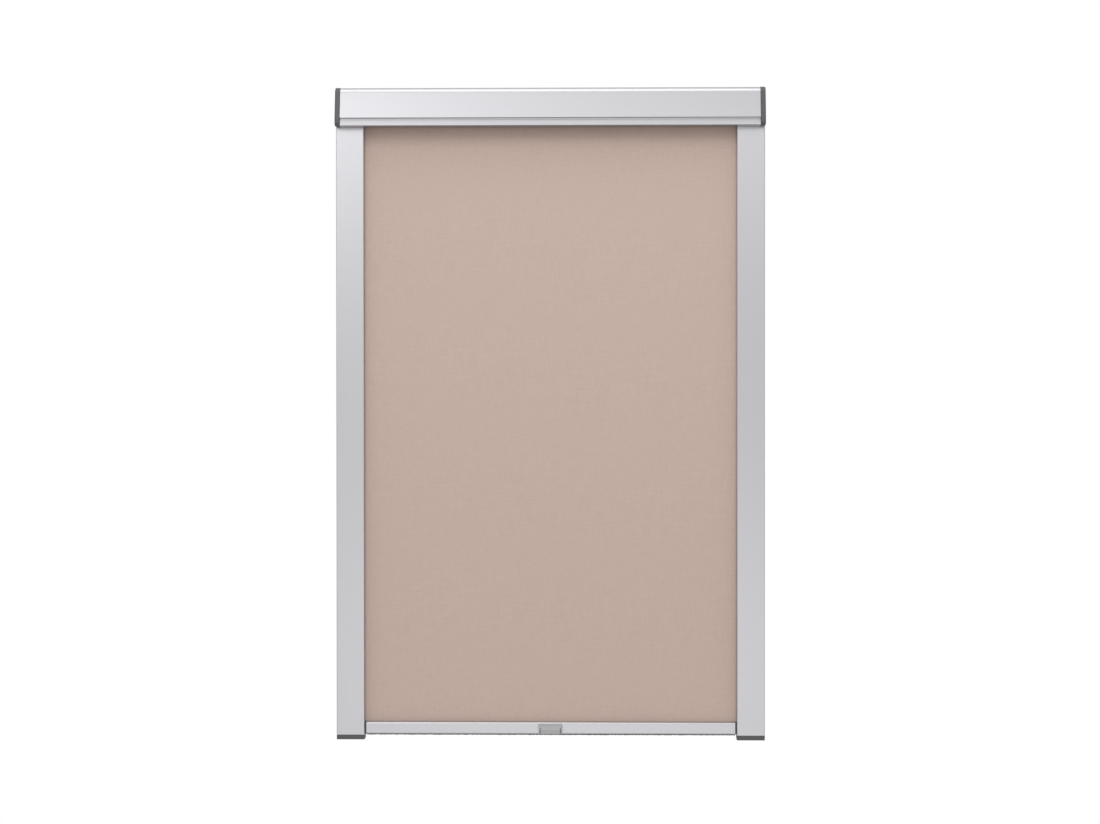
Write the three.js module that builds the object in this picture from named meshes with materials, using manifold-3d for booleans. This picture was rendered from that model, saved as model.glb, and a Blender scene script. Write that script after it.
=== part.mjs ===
// A roller blind for a roof window: a spring roller inside an aluminium cassette, two side rails
// screwed to the sides of the sash, and a pull bar that a hand slides up and down between them.
// Sizes are in millimetres. X runs across the blind, Y back towards the glass and Z up.
// The origin lies on the flat back of the cassette, in the middle and level with the roller's axis.

import * as THREE from "three";
import { mergeVertices } from "three/addons/utils/BufferGeometryUtils.js";
import Module from "manifold-3d";

// Fits
const seatGap = 0.3; // between pieces that sit on or in each other
const turnGap = 0.4; // between a turning or sliding piece and what carries it
const cutOverrun = 1; // how far a cutting tool runs past the face it cuts

// Whole blind
const blindWidth = 613; // over the outer faces, the clear width between the sides of the sash
const fabricDepth = 9; // from the back of the blind to the middle of the fabric
const fabricThickness = 0.32;

// Cassette, two aluminium shells
const cassetteHeight = 55.5;
const cassetteWall = 1.3;
const rollClearance = 0.7; // between the cover and the roller with all the fabric on it
const faceLean = 8.8; // how far the front face leans back at its top
const noseRadius = 10; // the rounded upper front edge
const faceEdgeRadius = 0.8;
const lipHeight = 11.2; // the strip below the front face
const lipSetback = 4.5; // behind the front face, at the top of the lip
const lipFlare = 4.6; // how far the lip comes forward again at its foot
const lipFilletRadius = 1.4; // under the step
const lipRadius = 1.5;
const slotFrontDepth = 16; // front edge of the slot that the fabric leaves by
const slotHemHeight = 4;
const backFootDepth = 4.5;
const topJointDepth = 14; // where the cover's top meets the back shell's
const tongueLength = 8;
const tongueThickness = 1.2;
const portWall = 1.2; // round the self-tapping screws
const portHoleDiameter = 3;
const portBite = 0.3; // how far a port grows into the wall that carries it
const portMouthAngle = 1.1; // radians
const screwShankDiameter = portHoleDiameter - 2 * seatGap;

// End caps
const capThickness = 7;
const capOverhang = 0.4; // over the shells' top and face; the foot is flush
const capFootRadius = 4.8;
const capBendRadius = 12; // where the front turns upright
const capBackRadius = 0.6;
const capEdge = 1.2; // the bevel round the outer face, which adds to the radii of its corners
const capLugLength = 7;
const capLugThickness = 2.6;
const capLugMargin = 4; // how far a lug stays from the corners of the shell that it locates
const bossRadius = 7.5;
const bossLength = 4.5;
const socketFloor = 1.4; // plastic left behind the roller's sockets, over the bracket's recess

// End-cap screws, self-tapping, pan head
const screwHeadDiameter = 5.2;
const screwHeadHeight = 1.9;
const screwLength = 15;
const screwRecess = 2.6; // depth of the counterbore
const screwCrossWidth = 0.8;
const screwCrossDepth = 0.9;
const screwCrossLength = 2.8;
const screwFlatShare = 0.62; // of the head's radius, the flat middle of its crown
const screwRimShare = 0.45; // of the head's height, the rounded part above its straight rim

// Mounting brackets, one in each end cap
const bracketThickness = 2;
const bracketWidth = 21.5;
const bracketHeight = 27.5;
const bracketFrontDepth = 27.5; // from the back of the blind to its front edge
const bracketTongueWidth = 9;
const bracketTongueLength = 3.4;
const bracketHoleDiameter = 4.2;
const bracketHoleSpread = 13; // between the two holes, up and down

// Side rails
const railTopGap = 0.1; // the rails butt against the end caps
const railLength = 869.7;
const railFace = 40;
const railDepth = 22;
const railWall = 1.4;
const railOuterRadius = 1.2; // the front edge by the sash
const railInnerRadius = 1.5; // the front edge by the fabric
const chamberWidth = 13.2;
const mouthWidth = 6.4; // the slot that the fabric and the bar's guides reach in by
const railScrewDiameter = 4;
const railDriverDiameter = 8.6; // lets the screw's head through the partition
const railScrewInset = 60; // of the end screws, from the rail's ends
const connectorDepthInRail = 22;
const connectorTongueThickness = 3.4;
const connectorTongueWidth = 9;
const connectorTongueDepth = 12.5; // from the back of the blind to the tongue's middle
const connectorTongueHeight = 9.4;
const connectorTongueInset = 2.1; // from the rail's outer face
const connectorWall = 2.2;
const footThickness = 6.5;
const footSpigotLength = 18;
const footStopHeight = 3;

// Roller
const tubeRadius = 10;
const tubeWall = 1;
const tubeFlange = 1.5; // rim of an end plug, over the tube's end
const tubeFlangeRadius = 9.6;
const grooveWidth = 3; // holds the fabric's edge
const grooveDepth = 1.8;
const clampStripHeight = 1.2;
const wrapTurns = 2.25; // turns of fabric that stay on the roller
const wrapPitch = 0.62;
const rollerSides = 32;
const plugLength = 18;
const idlePlugLength = 24;

// Spring motor inside the roller
const shaftRadius = 2.5;
const shaftTangThickness = 3;
const anchorGap = 2.3; // between the bearing plug and the anchor's collar
const anchorCollarRadius = 6.2;
const anchorCollarLength = 4;
const springNoseLength = 12;
const springRadius = 5.6; // middle of the wire
const springWireRadius = 0.55;
const springLength = 122;
const springTurns = 26;
const driverLength = 13;
const clipThickness = 1.2;
const clipRadius = 5;
const clipGrooveDepth = 0.6;
const shaftTail = 3; // length of shaft past the clip
const clipMouthShare = 0.8; // of the bore's radius, half the width of the clip's mouth

// Idle end
const idlePinRadius = 3;
const idlePinLength = 24;
const bushRadius = 5;
const bushLength = 5.2;

// Pull bar
const barHeight = 17.5;
const barFrontDepth = 18;
const barBackDepth = 3;
const barWall = 1.3;
const barCrestRadius = 3; // the upper front edge
const barEdgeRadius = 2;
const barEndGap = 2; // between the bar's end and the rail
const barLift = 0.7; // bar's underside above the rails' lower ends
const hemRodRadius = 1.7;
const hemBoreDepth = 4.6; // centre of the hem's bore, below the bar's top
const hemSlotWidth = 2;
const hemSlotLead = 1.2; // the bar's top falls from its crest to the slot
const barCrestRise = 0.88; // of the unrounded corner, which puts the crest at the bar's height
const hemBoreRadius = hemRodRadius + fabricThickness + 2 * seatGap;
const sealWidth = 6;
const sealDrop = 1.8; // how far the light seal stands below the bar
const sealRootWidth = 2.6;
const sealRootHeight = 2;

// Guides on the bar's ends
const guideHeightAboveBar = 5.5;
const topStopGap = 1.7; // left above the guides with the bar right up
const guideNeckHeight = 10;
const guideFlange = 1.3;
const guideSpigotLength = 14;
const guideFabricSlot = 2.2;
const brakeRecessWidth = 10;
const brakeRecessHeight = 14;
const brakeRecessDepth = 7;
const brakePadThickness = 2.2;
const brakeLeafThickness = 0.4;

// Pull handle
const handlePlateWidth = 34.4;
const handleGripWidth = 32.4;
const handlePlate = 1.4;
const handleTopMargin = 2.3; // below the bar's top
const handleReach = 9; // how far the lip stands out in front of the bar
const handleLipHeight = 4.4;
const handleTipRadius = 2;
const handleFootRise = 0.9; // of the lip's foot above the bar's underside
const handlePlateRise = 7.6; // of the plate's foot above the lip's
const handleSlotStart = 13.9; // from the middle, between the lip and a thin rib beside it
const handleSlotWidth = 1.3;
const handleSlotRise = 8.4;
const handleStudRadius = 1.6;
const handleStudLength = 3.2;
const handleStudSpread = 16;

const fullTurn = 2 * Math.PI;

// Heights of the cassette, the rails and the bar, and how far the bar rises
const cassetteTop = cassetteHeight / 2;
const cassetteFoot = -cassetteHeight / 2;
const railTop = cassetteFoot - railTopGap;
const railFoot = railTop - railLength;
const barFoot = railFoot + barLift;
const barTop = barFoot + barHeight;
const guideTop = barHeight + guideHeightAboveBar;
const barTravel = railTop - topStopGap - (barFoot + guideTop);

// Places across the blind, from an outer face inwards
const shellStart = capThickness + seatGap;
const flangeStart = capThickness + bossLength + turnGap;
const tubeStart = flangeStart + tubeFlange + seatGap;
const channelStart = railWall + chamberWidth + railWall;
const channelEnd = railFace - railWall;
const barStart = railFace + barEndGap;
const barEnd = blindWidth - barStart;
const fabricStart = (channelStart + channelEnd) / 2 - railWall;

// The roller hangs in front of the fabric, which runs straight down from its back
const tubeInner = tubeRadius - tubeWall;
const wrapOuter = tubeRadius + seatGap + fabricThickness / 2 + wrapTurns * wrapPitch;
const rollerY = -fabricDepth - wrapOuter;
const woundArea = fabricThickness * barTravel;
const fullRollRadius = Math.sqrt(wrapOuter ** 2 + woundArea / Math.PI) + fabricThickness / 2;

// The cover's front face leans back and clears the full roll level with the axis
const faceFoot = cassetteFoot + lipHeight;
const faceSlope = faceLean / (cassetteTop - faceFoot);
const coverDepth = fullRollRadius - rollerY + rollClearance + cassetteWall - faceSlope * faceFoot;
const lipDepth = coverDepth - lipSetback;
const lipFootDepth = lipDepth + lipFlare;
const faceY = (z) => -coverDepth + faceSlope * (z - faceFoot);

const aluminium = new THREE.MeshStandardMaterial({ color: 0xd2d2d5, roughness: 0.38, metalness: 0.85 });
const darkPlastic = new THREE.MeshStandardMaterial({ color: 0x5c5c5f, roughness: 0.5, metalness: 0 });
const greyPlastic = new THREE.MeshStandardMaterial({ color: 0xabacad, roughness: 0.45, metalness: 0 });
const whitePlastic = new THREE.MeshStandardMaterial({ color: 0xe6e4df, roughness: 0.5, metalness: 0 });
const fabricCloth = new THREE.MeshStandardMaterial({ color: 0xbca79c, roughness: 0.9, metalness: 0 });
const steel = new THREE.MeshStandardMaterial({ color: 0xb9bbbd, roughness: 0.35, metalness: 1 });
const springSteel = new THREE.MeshStandardMaterial({ color: 0x8d9093, roughness: 0.4, metalness: 1 });
const sealPile = new THREE.MeshStandardMaterial({ color: 0x4a4a4b, roughness: 0.95, metalness: 0 });
const feltPad = new THREE.MeshStandardMaterial({ color: 0x6e6e6c, roughness: 1, metalness: 0 });

const wasm = await Module();
wasm.setup();

// A closed geometry as a solid that can be cut and joined.
function solidOf(geometry) {
  const loose = geometry.index ? geometry.toNonIndexed() : geometry.clone();
  loose.deleteAttribute("normal");
  loose.deleteAttribute("uv");
  const merged = mergeVertices(loose);
  return new wasm.Manifold(
    new wasm.Mesh({
      numProp: 3,
      vertProperties: merged.attributes.position.array,
      triVerts: new Uint32Array(merged.index.array),
    }),
  );
}

function geometryOf(solid) {
  const mesh = solid.getMesh();
  const geometry = new THREE.BufferGeometry();
  geometry.setAttribute("position", new THREE.BufferAttribute(mesh.vertProperties, 3));
  geometry.setIndex(new THREE.BufferAttribute(mesh.triVerts, 1));
  geometry.computeVertexNormals();
  return geometry;
}

const join = (...parts) =>
  geometryOf(parts.map(solidOf).reduce((whole, part) => whole.add(part)));

const cut = (body, ...tools) =>
  geometryOf(tools.map(solidOf).reduce((whole, tool) => whole.subtract(tool), solidOf(body)));

// A closed outline from corners [x, y] or [x, y, radius], with each radius as an arc.
function outline(corners, arcSteps = 4) {
  const points = [];
  corners.forEach(([x, y, radius = 0], i) => {
    const corner = new THREE.Vector2(x, y);
    if (radius === 0) {
      points.push(corner);
      return;
    }
    const [bx, by] = corners[(i + corners.length - 1) % corners.length];
    const [ax, ay] = corners[(i + 1) % corners.length];
    const back = new THREE.Vector2(bx, by).sub(corner).normalize();
    const on = new THREE.Vector2(ax, ay).sub(corner).normalize();
    const half = Math.acos(back.dot(on)) / 2;
    const middle = back.clone().add(on).normalize().multiplyScalar(radius / Math.sin(half)).add(corner);
    const from = back.multiplyScalar(radius / Math.tan(half)).add(corner).sub(middle);
    const to = on.multiplyScalar(radius / Math.tan(half)).add(corner).sub(middle);
    let turn = to.angle() - from.angle();
    turn -= fullTurn * Math.round(turn / fullTurn);
    for (let step = 0; step <= arcSteps; step++) {
      const angle = from.angle() + (turn * step) / arcSteps;
      points.push(new THREE.Vector2(Math.cos(angle), Math.sin(angle)).multiplyScalar(radius).add(middle));
    }
  });
  return points;
}

function circle(x, y, radius, sides = 16) {
  const points = [];
  for (let i = 0; i < sides; i++) {
    const angle = (fullTurn * i) / sides;
    points.push(new THREE.Vector2(x + radius * Math.cos(angle), y + radius * Math.sin(angle)));
  }
  return points;
}

const rectangle = (x0, x1, y0, y1) => outline([[x0, y0], [x1, y0], [x1, y1], [x0, y1]]);

function drawnOut(points, length, holes) {
  const shape = new THREE.Shape(points);
  holes.forEach((hole) => shape.holes.push(new THREE.Path(hole)));
  return new THREE.ExtrudeGeometry(shape, { depth: length, bevelEnabled: false });
}

// A section in Y and Z, drawn out along X.
const alongX = new THREE.Matrix4().makeBasis(
  new THREE.Vector3(0, 1, 0),
  new THREE.Vector3(0, 0, 1),
  new THREE.Vector3(1, 0, 0),
);
const beam = (points, from, to, holes = []) =>
  drawnOut(points, to - from, holes).applyMatrix4(alongX).translate(from, 0, 0);

// A section in X and Y, drawn out along Z.
const post = (points, from, to) => drawnOut(points, to - from, []).translate(0, 0, from);

// A section in X and Z, drawn out along Y.
const alongY = new THREE.Matrix4().makeBasis(
  new THREE.Vector3(0, 0, 1),
  new THREE.Vector3(1, 0, 0),
  new THREE.Vector3(0, 1, 0),
);
const slab = (points, from, to) =>
  drawnOut(points.map(({ x, y }) => new THREE.Vector2(y, x)), to - from, [])
    .applyMatrix4(alongY)
    .translate(0, from, 0);

const block = (x0, x1, y0, y1, z0, z1) => post(rectangle(x0, x1, y0, y1), z0, z1);

// The two ends of a stretch of the given width about its middle.
const about = (middle, width) => [middle - width / 2, middle + width / 2];

// A round bar or bore along X.
const rod = (y, z, radius, from, to, sides = 16) => beam(circle(y, z, radius, sides), from, to);

function piece(name, geometry, material) {
  const mesh = new THREE.Mesh(geometry, material);
  mesh.name = name;
  return mesh;
}

// The four screws of an end cap go into ports in the corners of the two shells.
const portRadius = portHoleDiameter / 2 + portWall;
const portReach = portRadius - portBite;
const nosePortZ = cassetteTop - noseRadius - portRadius;
const tongueTop = cassetteTop - cassetteWall - seatGap;
const tongueFoot = tongueTop - tongueThickness;
const footPortZ = cassetteFoot + cassetteWall + portReach;
const ports = {
  backTop: { y: -cassetteWall - portReach, z: tongueFoot - portReach, mouth: -0.75 * Math.PI },
  backFoot: { y: -cassetteWall - portReach, z: footPortZ, mouth: 0.75 * Math.PI },
  coverLip: { y: -lipDepth + cassetteWall + portReach, z: footPortZ, mouth: Math.PI / 4 },
  coverNose: { y: faceY(nosePortZ) + cassetteWall + portReach, z: nosePortZ, mouth: 0 },
};

// A ring that is open on one side, as an extruded screw port is.
function portRing({ y, z, mouth }) {
  const sides = 14;
  const points = [];
  for (const [radius, way] of [[portRadius, 1], [portHoleDiameter / 2, -1]]) {
    for (let i = 0; i <= sides; i++) {
      const share = way > 0 ? i / sides : 1 - i / sides;
      const angle = mouth + portMouthAngle / 2 + (fullTurn - portMouthAngle) * share;
      points.push(new THREE.Vector2(y + radius * Math.cos(angle), z + radius * Math.sin(angle)));
    }
  }
  return points;
}

const shellEnd = blindWidth - shellStart;

// Back shell: back wall, rear half of the top, and a tongue that slips under the cover's top.
function cassetteBack() {
  const section = outline([
    [0, cassetteTop],
    [0, cassetteFoot],
    [-backFootDepth, cassetteFoot],
    [-backFootDepth, cassetteFoot + cassetteWall],
    [-cassetteWall, cassetteFoot + cassetteWall],
    [-cassetteWall, tongueFoot],
    [-topJointDepth - tongueLength, tongueFoot],
    [-topJointDepth - tongueLength, tongueTop],
    [-topJointDepth + seatGap, tongueTop],
    [-topJointDepth + seatGap, cassetteTop],
  ]);
  return join(
    beam(section, shellStart, shellEnd),
    beam(portRing(ports.backTop), shellStart, shellEnd),
    beam(portRing(ports.backFoot), shellStart, shellEnd),
  );
}

// Front cover: the top, the leaning front face, the lip set back below it and the bottom as far
// as the fabric's slot, with its edge turned up so that the fabric can't catch on it.
function cassetteCover() {
  const lipInside = -lipDepth + cassetteWall;
  const faceInside = (z) => faceY(z) + cassetteWall;
  const section = outline([
    [-topJointDepth, cassetteTop],
    [faceY(cassetteTop), cassetteTop, noseRadius],
    [-coverDepth, faceFoot, faceEdgeRadius],
    [-lipDepth, faceFoot, lipFilletRadius],
    [-lipFootDepth, cassetteFoot, lipRadius],
    [-slotFrontDepth, cassetteFoot],
    [-slotFrontDepth, cassetteFoot + slotHemHeight],
    [-slotFrontDepth - cassetteWall, cassetteFoot + slotHemHeight],
    [-slotFrontDepth - cassetteWall, cassetteFoot + cassetteWall],
    [lipInside, cassetteFoot + cassetteWall],
    [lipInside, faceFoot + cassetteWall],
    [faceInside(faceFoot + cassetteWall), faceFoot + cassetteWall],
    [faceInside(cassetteTop - cassetteWall), cassetteTop - cassetteWall, noseRadius - cassetteWall],
    [-topJointDepth, cassetteTop - cassetteWall],
  ], 6);
  return join(
    beam(section, shellStart, shellEnd),
    beam(portRing(ports.coverLip), shellStart, shellEnd),
    beam(portRing(ports.coverNose), shellStart, shellEnd),
  );
}

// The plate of an end cap stands proud of the shells. Its front leans with the cover's face, and is
// upright beside the lip.
// Its rounded edge is a bevel, and the bevel on the inner side is cut off.
function capPlate() {
  const grow = capOverhang - capEdge;
  const top = cassetteTop + grow;
  const foot = cassetteFoot + capEdge;
  const front = faceY(faceFoot) - grow;
  const face = outline([
    [-capEdge, top, capBackRadius],
    [faceY(top) - grow, top, noseRadius + grow],
    [front, faceFoot, capBendRadius],
    [front, foot, capFootRadius],
    [-capEdge, foot, capBackRadius],
  ], 6);
  const plate = new THREE.ExtrudeGeometry(new THREE.Shape(face), {
    depth: capThickness,
    bevelThickness: capEdge,
    bevelSize: capEdge,
    bevelSegments: 2,
  }).applyMatrix4(alongX).translate(capEdge, 0, 0);
  return cut(plate, block(capThickness, capThickness + 3 * capEdge,
    front - 3 * capEdge, 2 * capEdge, foot - 2 * capEdge, top + 2 * capEdge));
}

// The bracket's place in the end cap.
const bracketBack = -bracketFrontDepth + bracketWidth;
const bracketMiddle = (bracketBack - bracketFrontDepth) / 2;
const bracketRecess = bracketThickness + seatGap;

// An end cap: moulded plate, a boss for the roller, three lugs that locate the shells, four
// counterbored screw holes, a recess for the bracket and a pocket for the rail's connector.
function endCap(socket) {
  const lugEnd = capThickness + capLugLength;
  const lugSpan = cassetteHeight / 2 - portRadius * 2 - capLugMargin;
  const inFront = (z) => faceY(z) + cassetteWall + seatGap;
  const frontTop = nosePortZ - portRadius - capLugMargin;
  const frontFoot = faceFoot + cassetteWall + capLugMargin;
  const body = join(
    capPlate(),
    rod(rollerY, 0, bossRadius, capThickness - cutOverrun, capThickness + bossLength, 24),
    block(capThickness - cutOverrun, lugEnd,
      -cassetteWall - seatGap - capLugThickness, -cassetteWall - seatGap, -lugSpan, lugSpan),
    block(capThickness - cutOverrun, lugEnd,
      -topJointDepth - tongueLength, -portRadius * 2 - capLugMargin,
      tongueFoot - seatGap - capLugThickness, tongueFoot - seatGap),
    beam(outline([
      [inFront(frontFoot), frontFoot],
      [inFront(frontTop), frontTop],
      [inFront(frontTop) + capLugThickness, frontTop],
      [inFront(frontFoot) + capLugThickness, frontFoot],
    ]), capThickness - cutOverrun, lugEnd),
  );
  const screwHoles = Object.values(ports).flatMap(({ y, z }) => [
    rod(y, z, portHoleDiameter / 2 + seatGap, -cutOverrun, capThickness + cutOverrun, 12),
    rod(y, z, screwHeadDiameter / 2 + seatGap, -cutOverrun, screwRecess),
  ]);
  const bracketEnd = bracketHeight / 2 + seatGap;
  const bracketPlace = block(-cutOverrun, bracketRecess,
    -bracketFrontDepth - seatGap, bracketBack + seatGap, -bracketEnd, bracketEnd);
  const hookPlaces = [-1, 1].map((way) => {
    const outer = way * bracketEnd;
    const inner = way * (bracketEnd - bracketThickness - 2 * seatGap);
    return block(0, bracketRecess + bracketTongueLength,
      ...about(bracketMiddle, bracketTongueWidth + 2 * seatGap),
      Math.min(outer, inner), Math.max(outer, inner));
  });
  const pocket = block(
    connectorTongueInset - seatGap, connectorTongueInset + connectorTongueThickness + seatGap,
    ...about(-connectorTongueDepth, connectorTongueWidth + 2 * seatGap),
    cassetteFoot - cutOverrun, railTop + connectorTongueHeight + seatGap);
  return cut(body, ...screwHoles, bracketPlace, ...hookPlaces, pocket, socket);
}

const socketStart = bracketRecess + socketFloor;
const bossEnd = capThickness + bossLength;

// The left cap holds the spring's shaft against turning, the right cap holds a bush.
const shaftSocket = () =>
  block(socketStart, bossEnd + cutOverrun,
    ...about(rollerY, 2 * (shaftRadius + seatGap)), ...about(0, shaftTangThickness + 2 * seatGap));
const bushSocket = () => rod(rollerY, 0, bushRadius + seatGap, socketStart, bossEnd + cutOverrun, 24);

// A self-tapping screw with a pan head and a cross recess, its head towards the outer face.
function capScrew() {
  const head = screwHeadDiameter / 2;
  const shank = screwShankDiameter / 2;
  const profile = [
    [0, 0],
    [head * screwFlatShare, 0],
    [head, screwHeadHeight * screwRimShare],
    [head, screwHeadHeight],
    [shank, screwHeadHeight],
    [shank, screwLength - screwShankDiameter],
    [0, screwLength],
  ].map(([r, along]) => new THREE.Vector2(r, along));
  const turned = new THREE.LatheGeometry(profile, 12).rotateZ(-Math.PI / 2);
  const bars = [0, Math.PI / 2].map((turn) =>
    block(-cutOverrun, screwCrossDepth, ...about(0, screwCrossWidth), ...about(0, screwCrossLength))
      .rotateX(turn));
  return cut(turned, ...bars);
}

// A bracket of bent steel sheet: a plate with two screw holes and a tongue at top and bottom
// that grips the end cap.
function mountingBracket() {
  const half = bracketHeight / 2;
  const tongues = [-1, 1].map((way) =>
    block(bracketThickness - seatGap, bracketThickness + bracketTongueLength,
      ...about(bracketMiddle, bracketTongueWidth),
      way > 0 ? half - bracketThickness : -half, way > 0 ? half : bracketThickness - half));
  const holes = [-1, 1].map((way) =>
    rod(bracketMiddle + (way * bracketTongueWidth) / 2, (way * bracketHoleSpread) / 2,
      bracketHoleDiameter / 2, -cutOverrun, bracketThickness + cutOverrun));
  const plate = block(0, bracketThickness, -bracketFrontDepth, bracketBack, -half, half);
  return cut(join(plate, ...tongues), ...holes);
}

const mouthFront = -fabricDepth - mouthWidth / 2;
const mouthBack = -fabricDepth + mouthWidth / 2;
const railFrontInside = -railDepth + railWall;
const chamberEnd = railWall + chamberWidth;

// A side rail: one extrusion with a closed chamber by the sash and an open channel whose mouth
// faces the fabric. Screws go through the mouth and the partition into the outer wall.
function sideRail() {
  const section = outline([
    [0, 0],
    [railFace, 0],
    [railFace, mouthBack],
    [channelEnd, mouthBack],
    [channelEnd, -railWall],
    [channelStart, -railWall],
    [channelStart, railFrontInside],
    [channelEnd, railFrontInside],
    [channelEnd, mouthFront],
    [railFace, mouthFront],
    [railFace, -railDepth, railInnerRadius],
    [0, -railDepth, railOuterRadius],
  ]);
  const holes = railScrewHeights.flatMap((z) => [
    rod(-fabricDepth, z, railScrewDiameter / 2, -cutOverrun, railWall + cutOverrun, 12),
    rod(-fabricDepth, z, railDriverDiameter / 2, chamberEnd - cutOverrun, channelStart + cutOverrun, 16),
  ]);
  const chamber = post(chamberOutline(0), railFoot - cutOverrun, railTop + cutOverrun);
  return cut(post(section, railFoot, railTop), chamber, ...holes);
}

// The rail's closed chamber, or what fits in it with a gap.
function chamberOutline(gap) {
  return outline([
    [railWall + gap, -railWall - gap],
    [chamberEnd - gap, -railWall - gap],
    [chamberEnd - gap, railFrontInside + gap],
    [railWall + gap, railFrontInside + gap, Math.max(railOuterRadius - railWall - gap, 0)],
  ]);
}

const railScrewHeights = [railFoot + railScrewInset, (railFoot + railTop) / 2, railTop - railScrewInset];

// Moulded plug that joins a rail to the end cap above it, hollow from below.
function railConnector() {
  const foot = railTop - connectorDepthInRail;
  const body = join(
    post(chamberOutline(seatGap), foot, railTop),
    block(connectorTongueInset, connectorTongueInset + connectorTongueThickness,
      ...about(-connectorTongueDepth, connectorTongueWidth),
      railTop - cutOverrun, railTop + connectorTongueHeight),
  );
  const hollow = post(chamberOutline(seatGap + connectorWall), foot - cutOverrun, railTop - connectorWall);
  return cut(body, hollow);
}

// Moulded foot that closes a rail: a spigot in the chamber and a stop under the bar's guide.
function railFootCap() {
  const plateTop = railFoot - seatGap;
  const face = outline([
    [0, 0],
    [railFace, 0],
    [railFace, -railDepth, railInnerRadius],
    [0, -railDepth, railOuterRadius],
  ]);
  return join(
    post(face, plateTop - footThickness, plateTop),
    post(chamberOutline(seatGap), plateTop - cutOverrun, railFoot + footSpigotLength),
    block(channelStart + seatGap, channelEnd - seatGap, railFrontInside + seatGap, -railWall - seatGap,
      plateTop - cutOverrun, railFoot + footStopHeight),
  );
}

// A circle with a square notch in its top, as the tube has for the fabric's edge.
function notched(radius, halfWidth, floor) {
  const edge = Math.asin(halfWidth / radius);
  const points = [];
  for (let i = 0; i <= rollerSides; i++) {
    const angle = Math.PI / 2 + edge + ((fullTurn - 2 * edge) * i) / rollerSides;
    points.push(new THREE.Vector2(radius * Math.cos(angle), radius * Math.sin(angle)));
  }
  points.push(new THREE.Vector2(halfWidth, floor), new THREE.Vector2(-halfWidth, floor));
  return points;
}

const grooveFloor = tubeRadius - grooveDepth;
const rollerTube = () =>
  beam(
    notched(tubeRadius, grooveWidth / 2, grooveFloor), tubeStart, blindWidth - tubeStart,
    [notched(tubeInner, grooveWidth / 2 + tubeWall, grooveFloor - tubeWall)]);

// What fills the tube, keyed to the back of its groove.
const plugSection = () =>
  notched(tubeInner - seatGap, grooveWidth / 2 + tubeWall + seatGap, grooveFloor - tubeWall - seatGap);

// A plug that closes an end of the tube and turns with it, bored for what it turns on.
function tubePlug(bore, length) {
  const body = join(
    rod(0, 0, tubeFlangeRadius, flangeStart, tubeStart - seatGap, rollerSides),
    beam(plugSection(), tubeStart - seatGap - tubeFlange / 2, tubeStart + length),
  );
  return cut(body, rod(0, 0, bore, flangeStart - cutOverrun, tubeStart + length + cutOverrun, 24));
}

const anchorStart = tubeStart + plugLength + anchorGap;
const noseEnd = anchorStart + anchorCollarLength + springNoseLength;
const springStart = anchorStart + anchorCollarLength + seatGap;
const springNoseRadius = springRadius - springWireRadius - turnGap;
const driverStart = springStart + springLength + seatGap;
const driverEnd = driverStart + driverLength;

// Turns the tube: the spring's far end sits on its nose.
function springDriver() {
  const body = join(
    beam(plugSection(), driverStart, driverEnd),
    rod(0, 0, springNoseRadius, driverStart - springNoseLength, driverStart + cutOverrun),
  );
  const bore = rod(0, 0, shaftRadius + turnGap,
    driverStart - springNoseLength - cutOverrun, driverEnd + cutOverrun);
  return cut(body, bore);
}

// Fixed to the shaft: holds the spring's near end.
const springAnchor = () =>
  cut(
    join(
      rod(0, 0, anchorCollarRadius, anchorStart, anchorStart + anchorCollarLength, 20),
      rod(0, 0, springNoseRadius, anchorStart + cutOverrun, noseEnd),
    ),
    rod(0, 0, shaftRadius + seatGap, anchorStart - cutOverrun, noseEnd + cutOverrun),
  );

const shaftStart = socketStart + seatGap;
const shaftTangEnd = bossEnd + seatGap;
const clipStart = driverEnd + turnGap;
const clipEnd = clipStart + clipThickness;
const shaftEnd = clipEnd + shaftTail;

// Steel shaft with a flat tang in the left cap and a groove for the retaining clip.
function springShaft() {
  const outside = shaftRadius + cutOverrun;
  const flats = [-1, 1].map((way) =>
    block(shaftStart - cutOverrun, shaftTangEnd, -outside, outside,
      way > 0 ? shaftTangThickness / 2 : -outside,
      way > 0 ? outside : -shaftTangThickness / 2));
  const groove = cut(
    rod(0, 0, outside, clipStart - seatGap, clipEnd + seatGap),
    rod(0, 0, shaftRadius - clipGrooveDepth, clipStart - cutOverrun, clipEnd + cutOverrun));
  return cut(rod(0, 0, shaftRadius, shaftStart, shaftEnd), ...flats, groove);
}

const retainingClip = () => {
  const inner = shaftRadius - clipGrooveDepth + seatGap;
  const ring = beam(circle(0, 0, clipRadius, 20), clipStart, clipEnd, [circle(0, 0, inner)]);
  const mouth = block(clipStart - cutOverrun, clipEnd + cutOverrun,
    ...about(0, 2 * inner * clipMouthShare), -clipRadius - cutOverrun, 0);
  return cut(ring, mouth);
};

// The line of the torsion spring's wire.
class SpringLine extends THREE.Curve {
  getPoint(t, target = new THREE.Vector3()) {
    const angle = fullTurn * springTurns * t;
    const along = springStart + springWireRadius + (springLength - 2 * springWireRadius) * t;
    return target.set(along, springRadius * Math.cos(angle), springRadius * Math.sin(angle));
  }
}

const torsionSpring = () =>
  new THREE.ExtrudeGeometry(new THREE.Shape(circle(0, 0, springWireRadius, 5)), {
    extrudePath: new SpringLine(),
    steps: springTurns * 8,
    bevelEnabled: false,
  });

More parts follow.
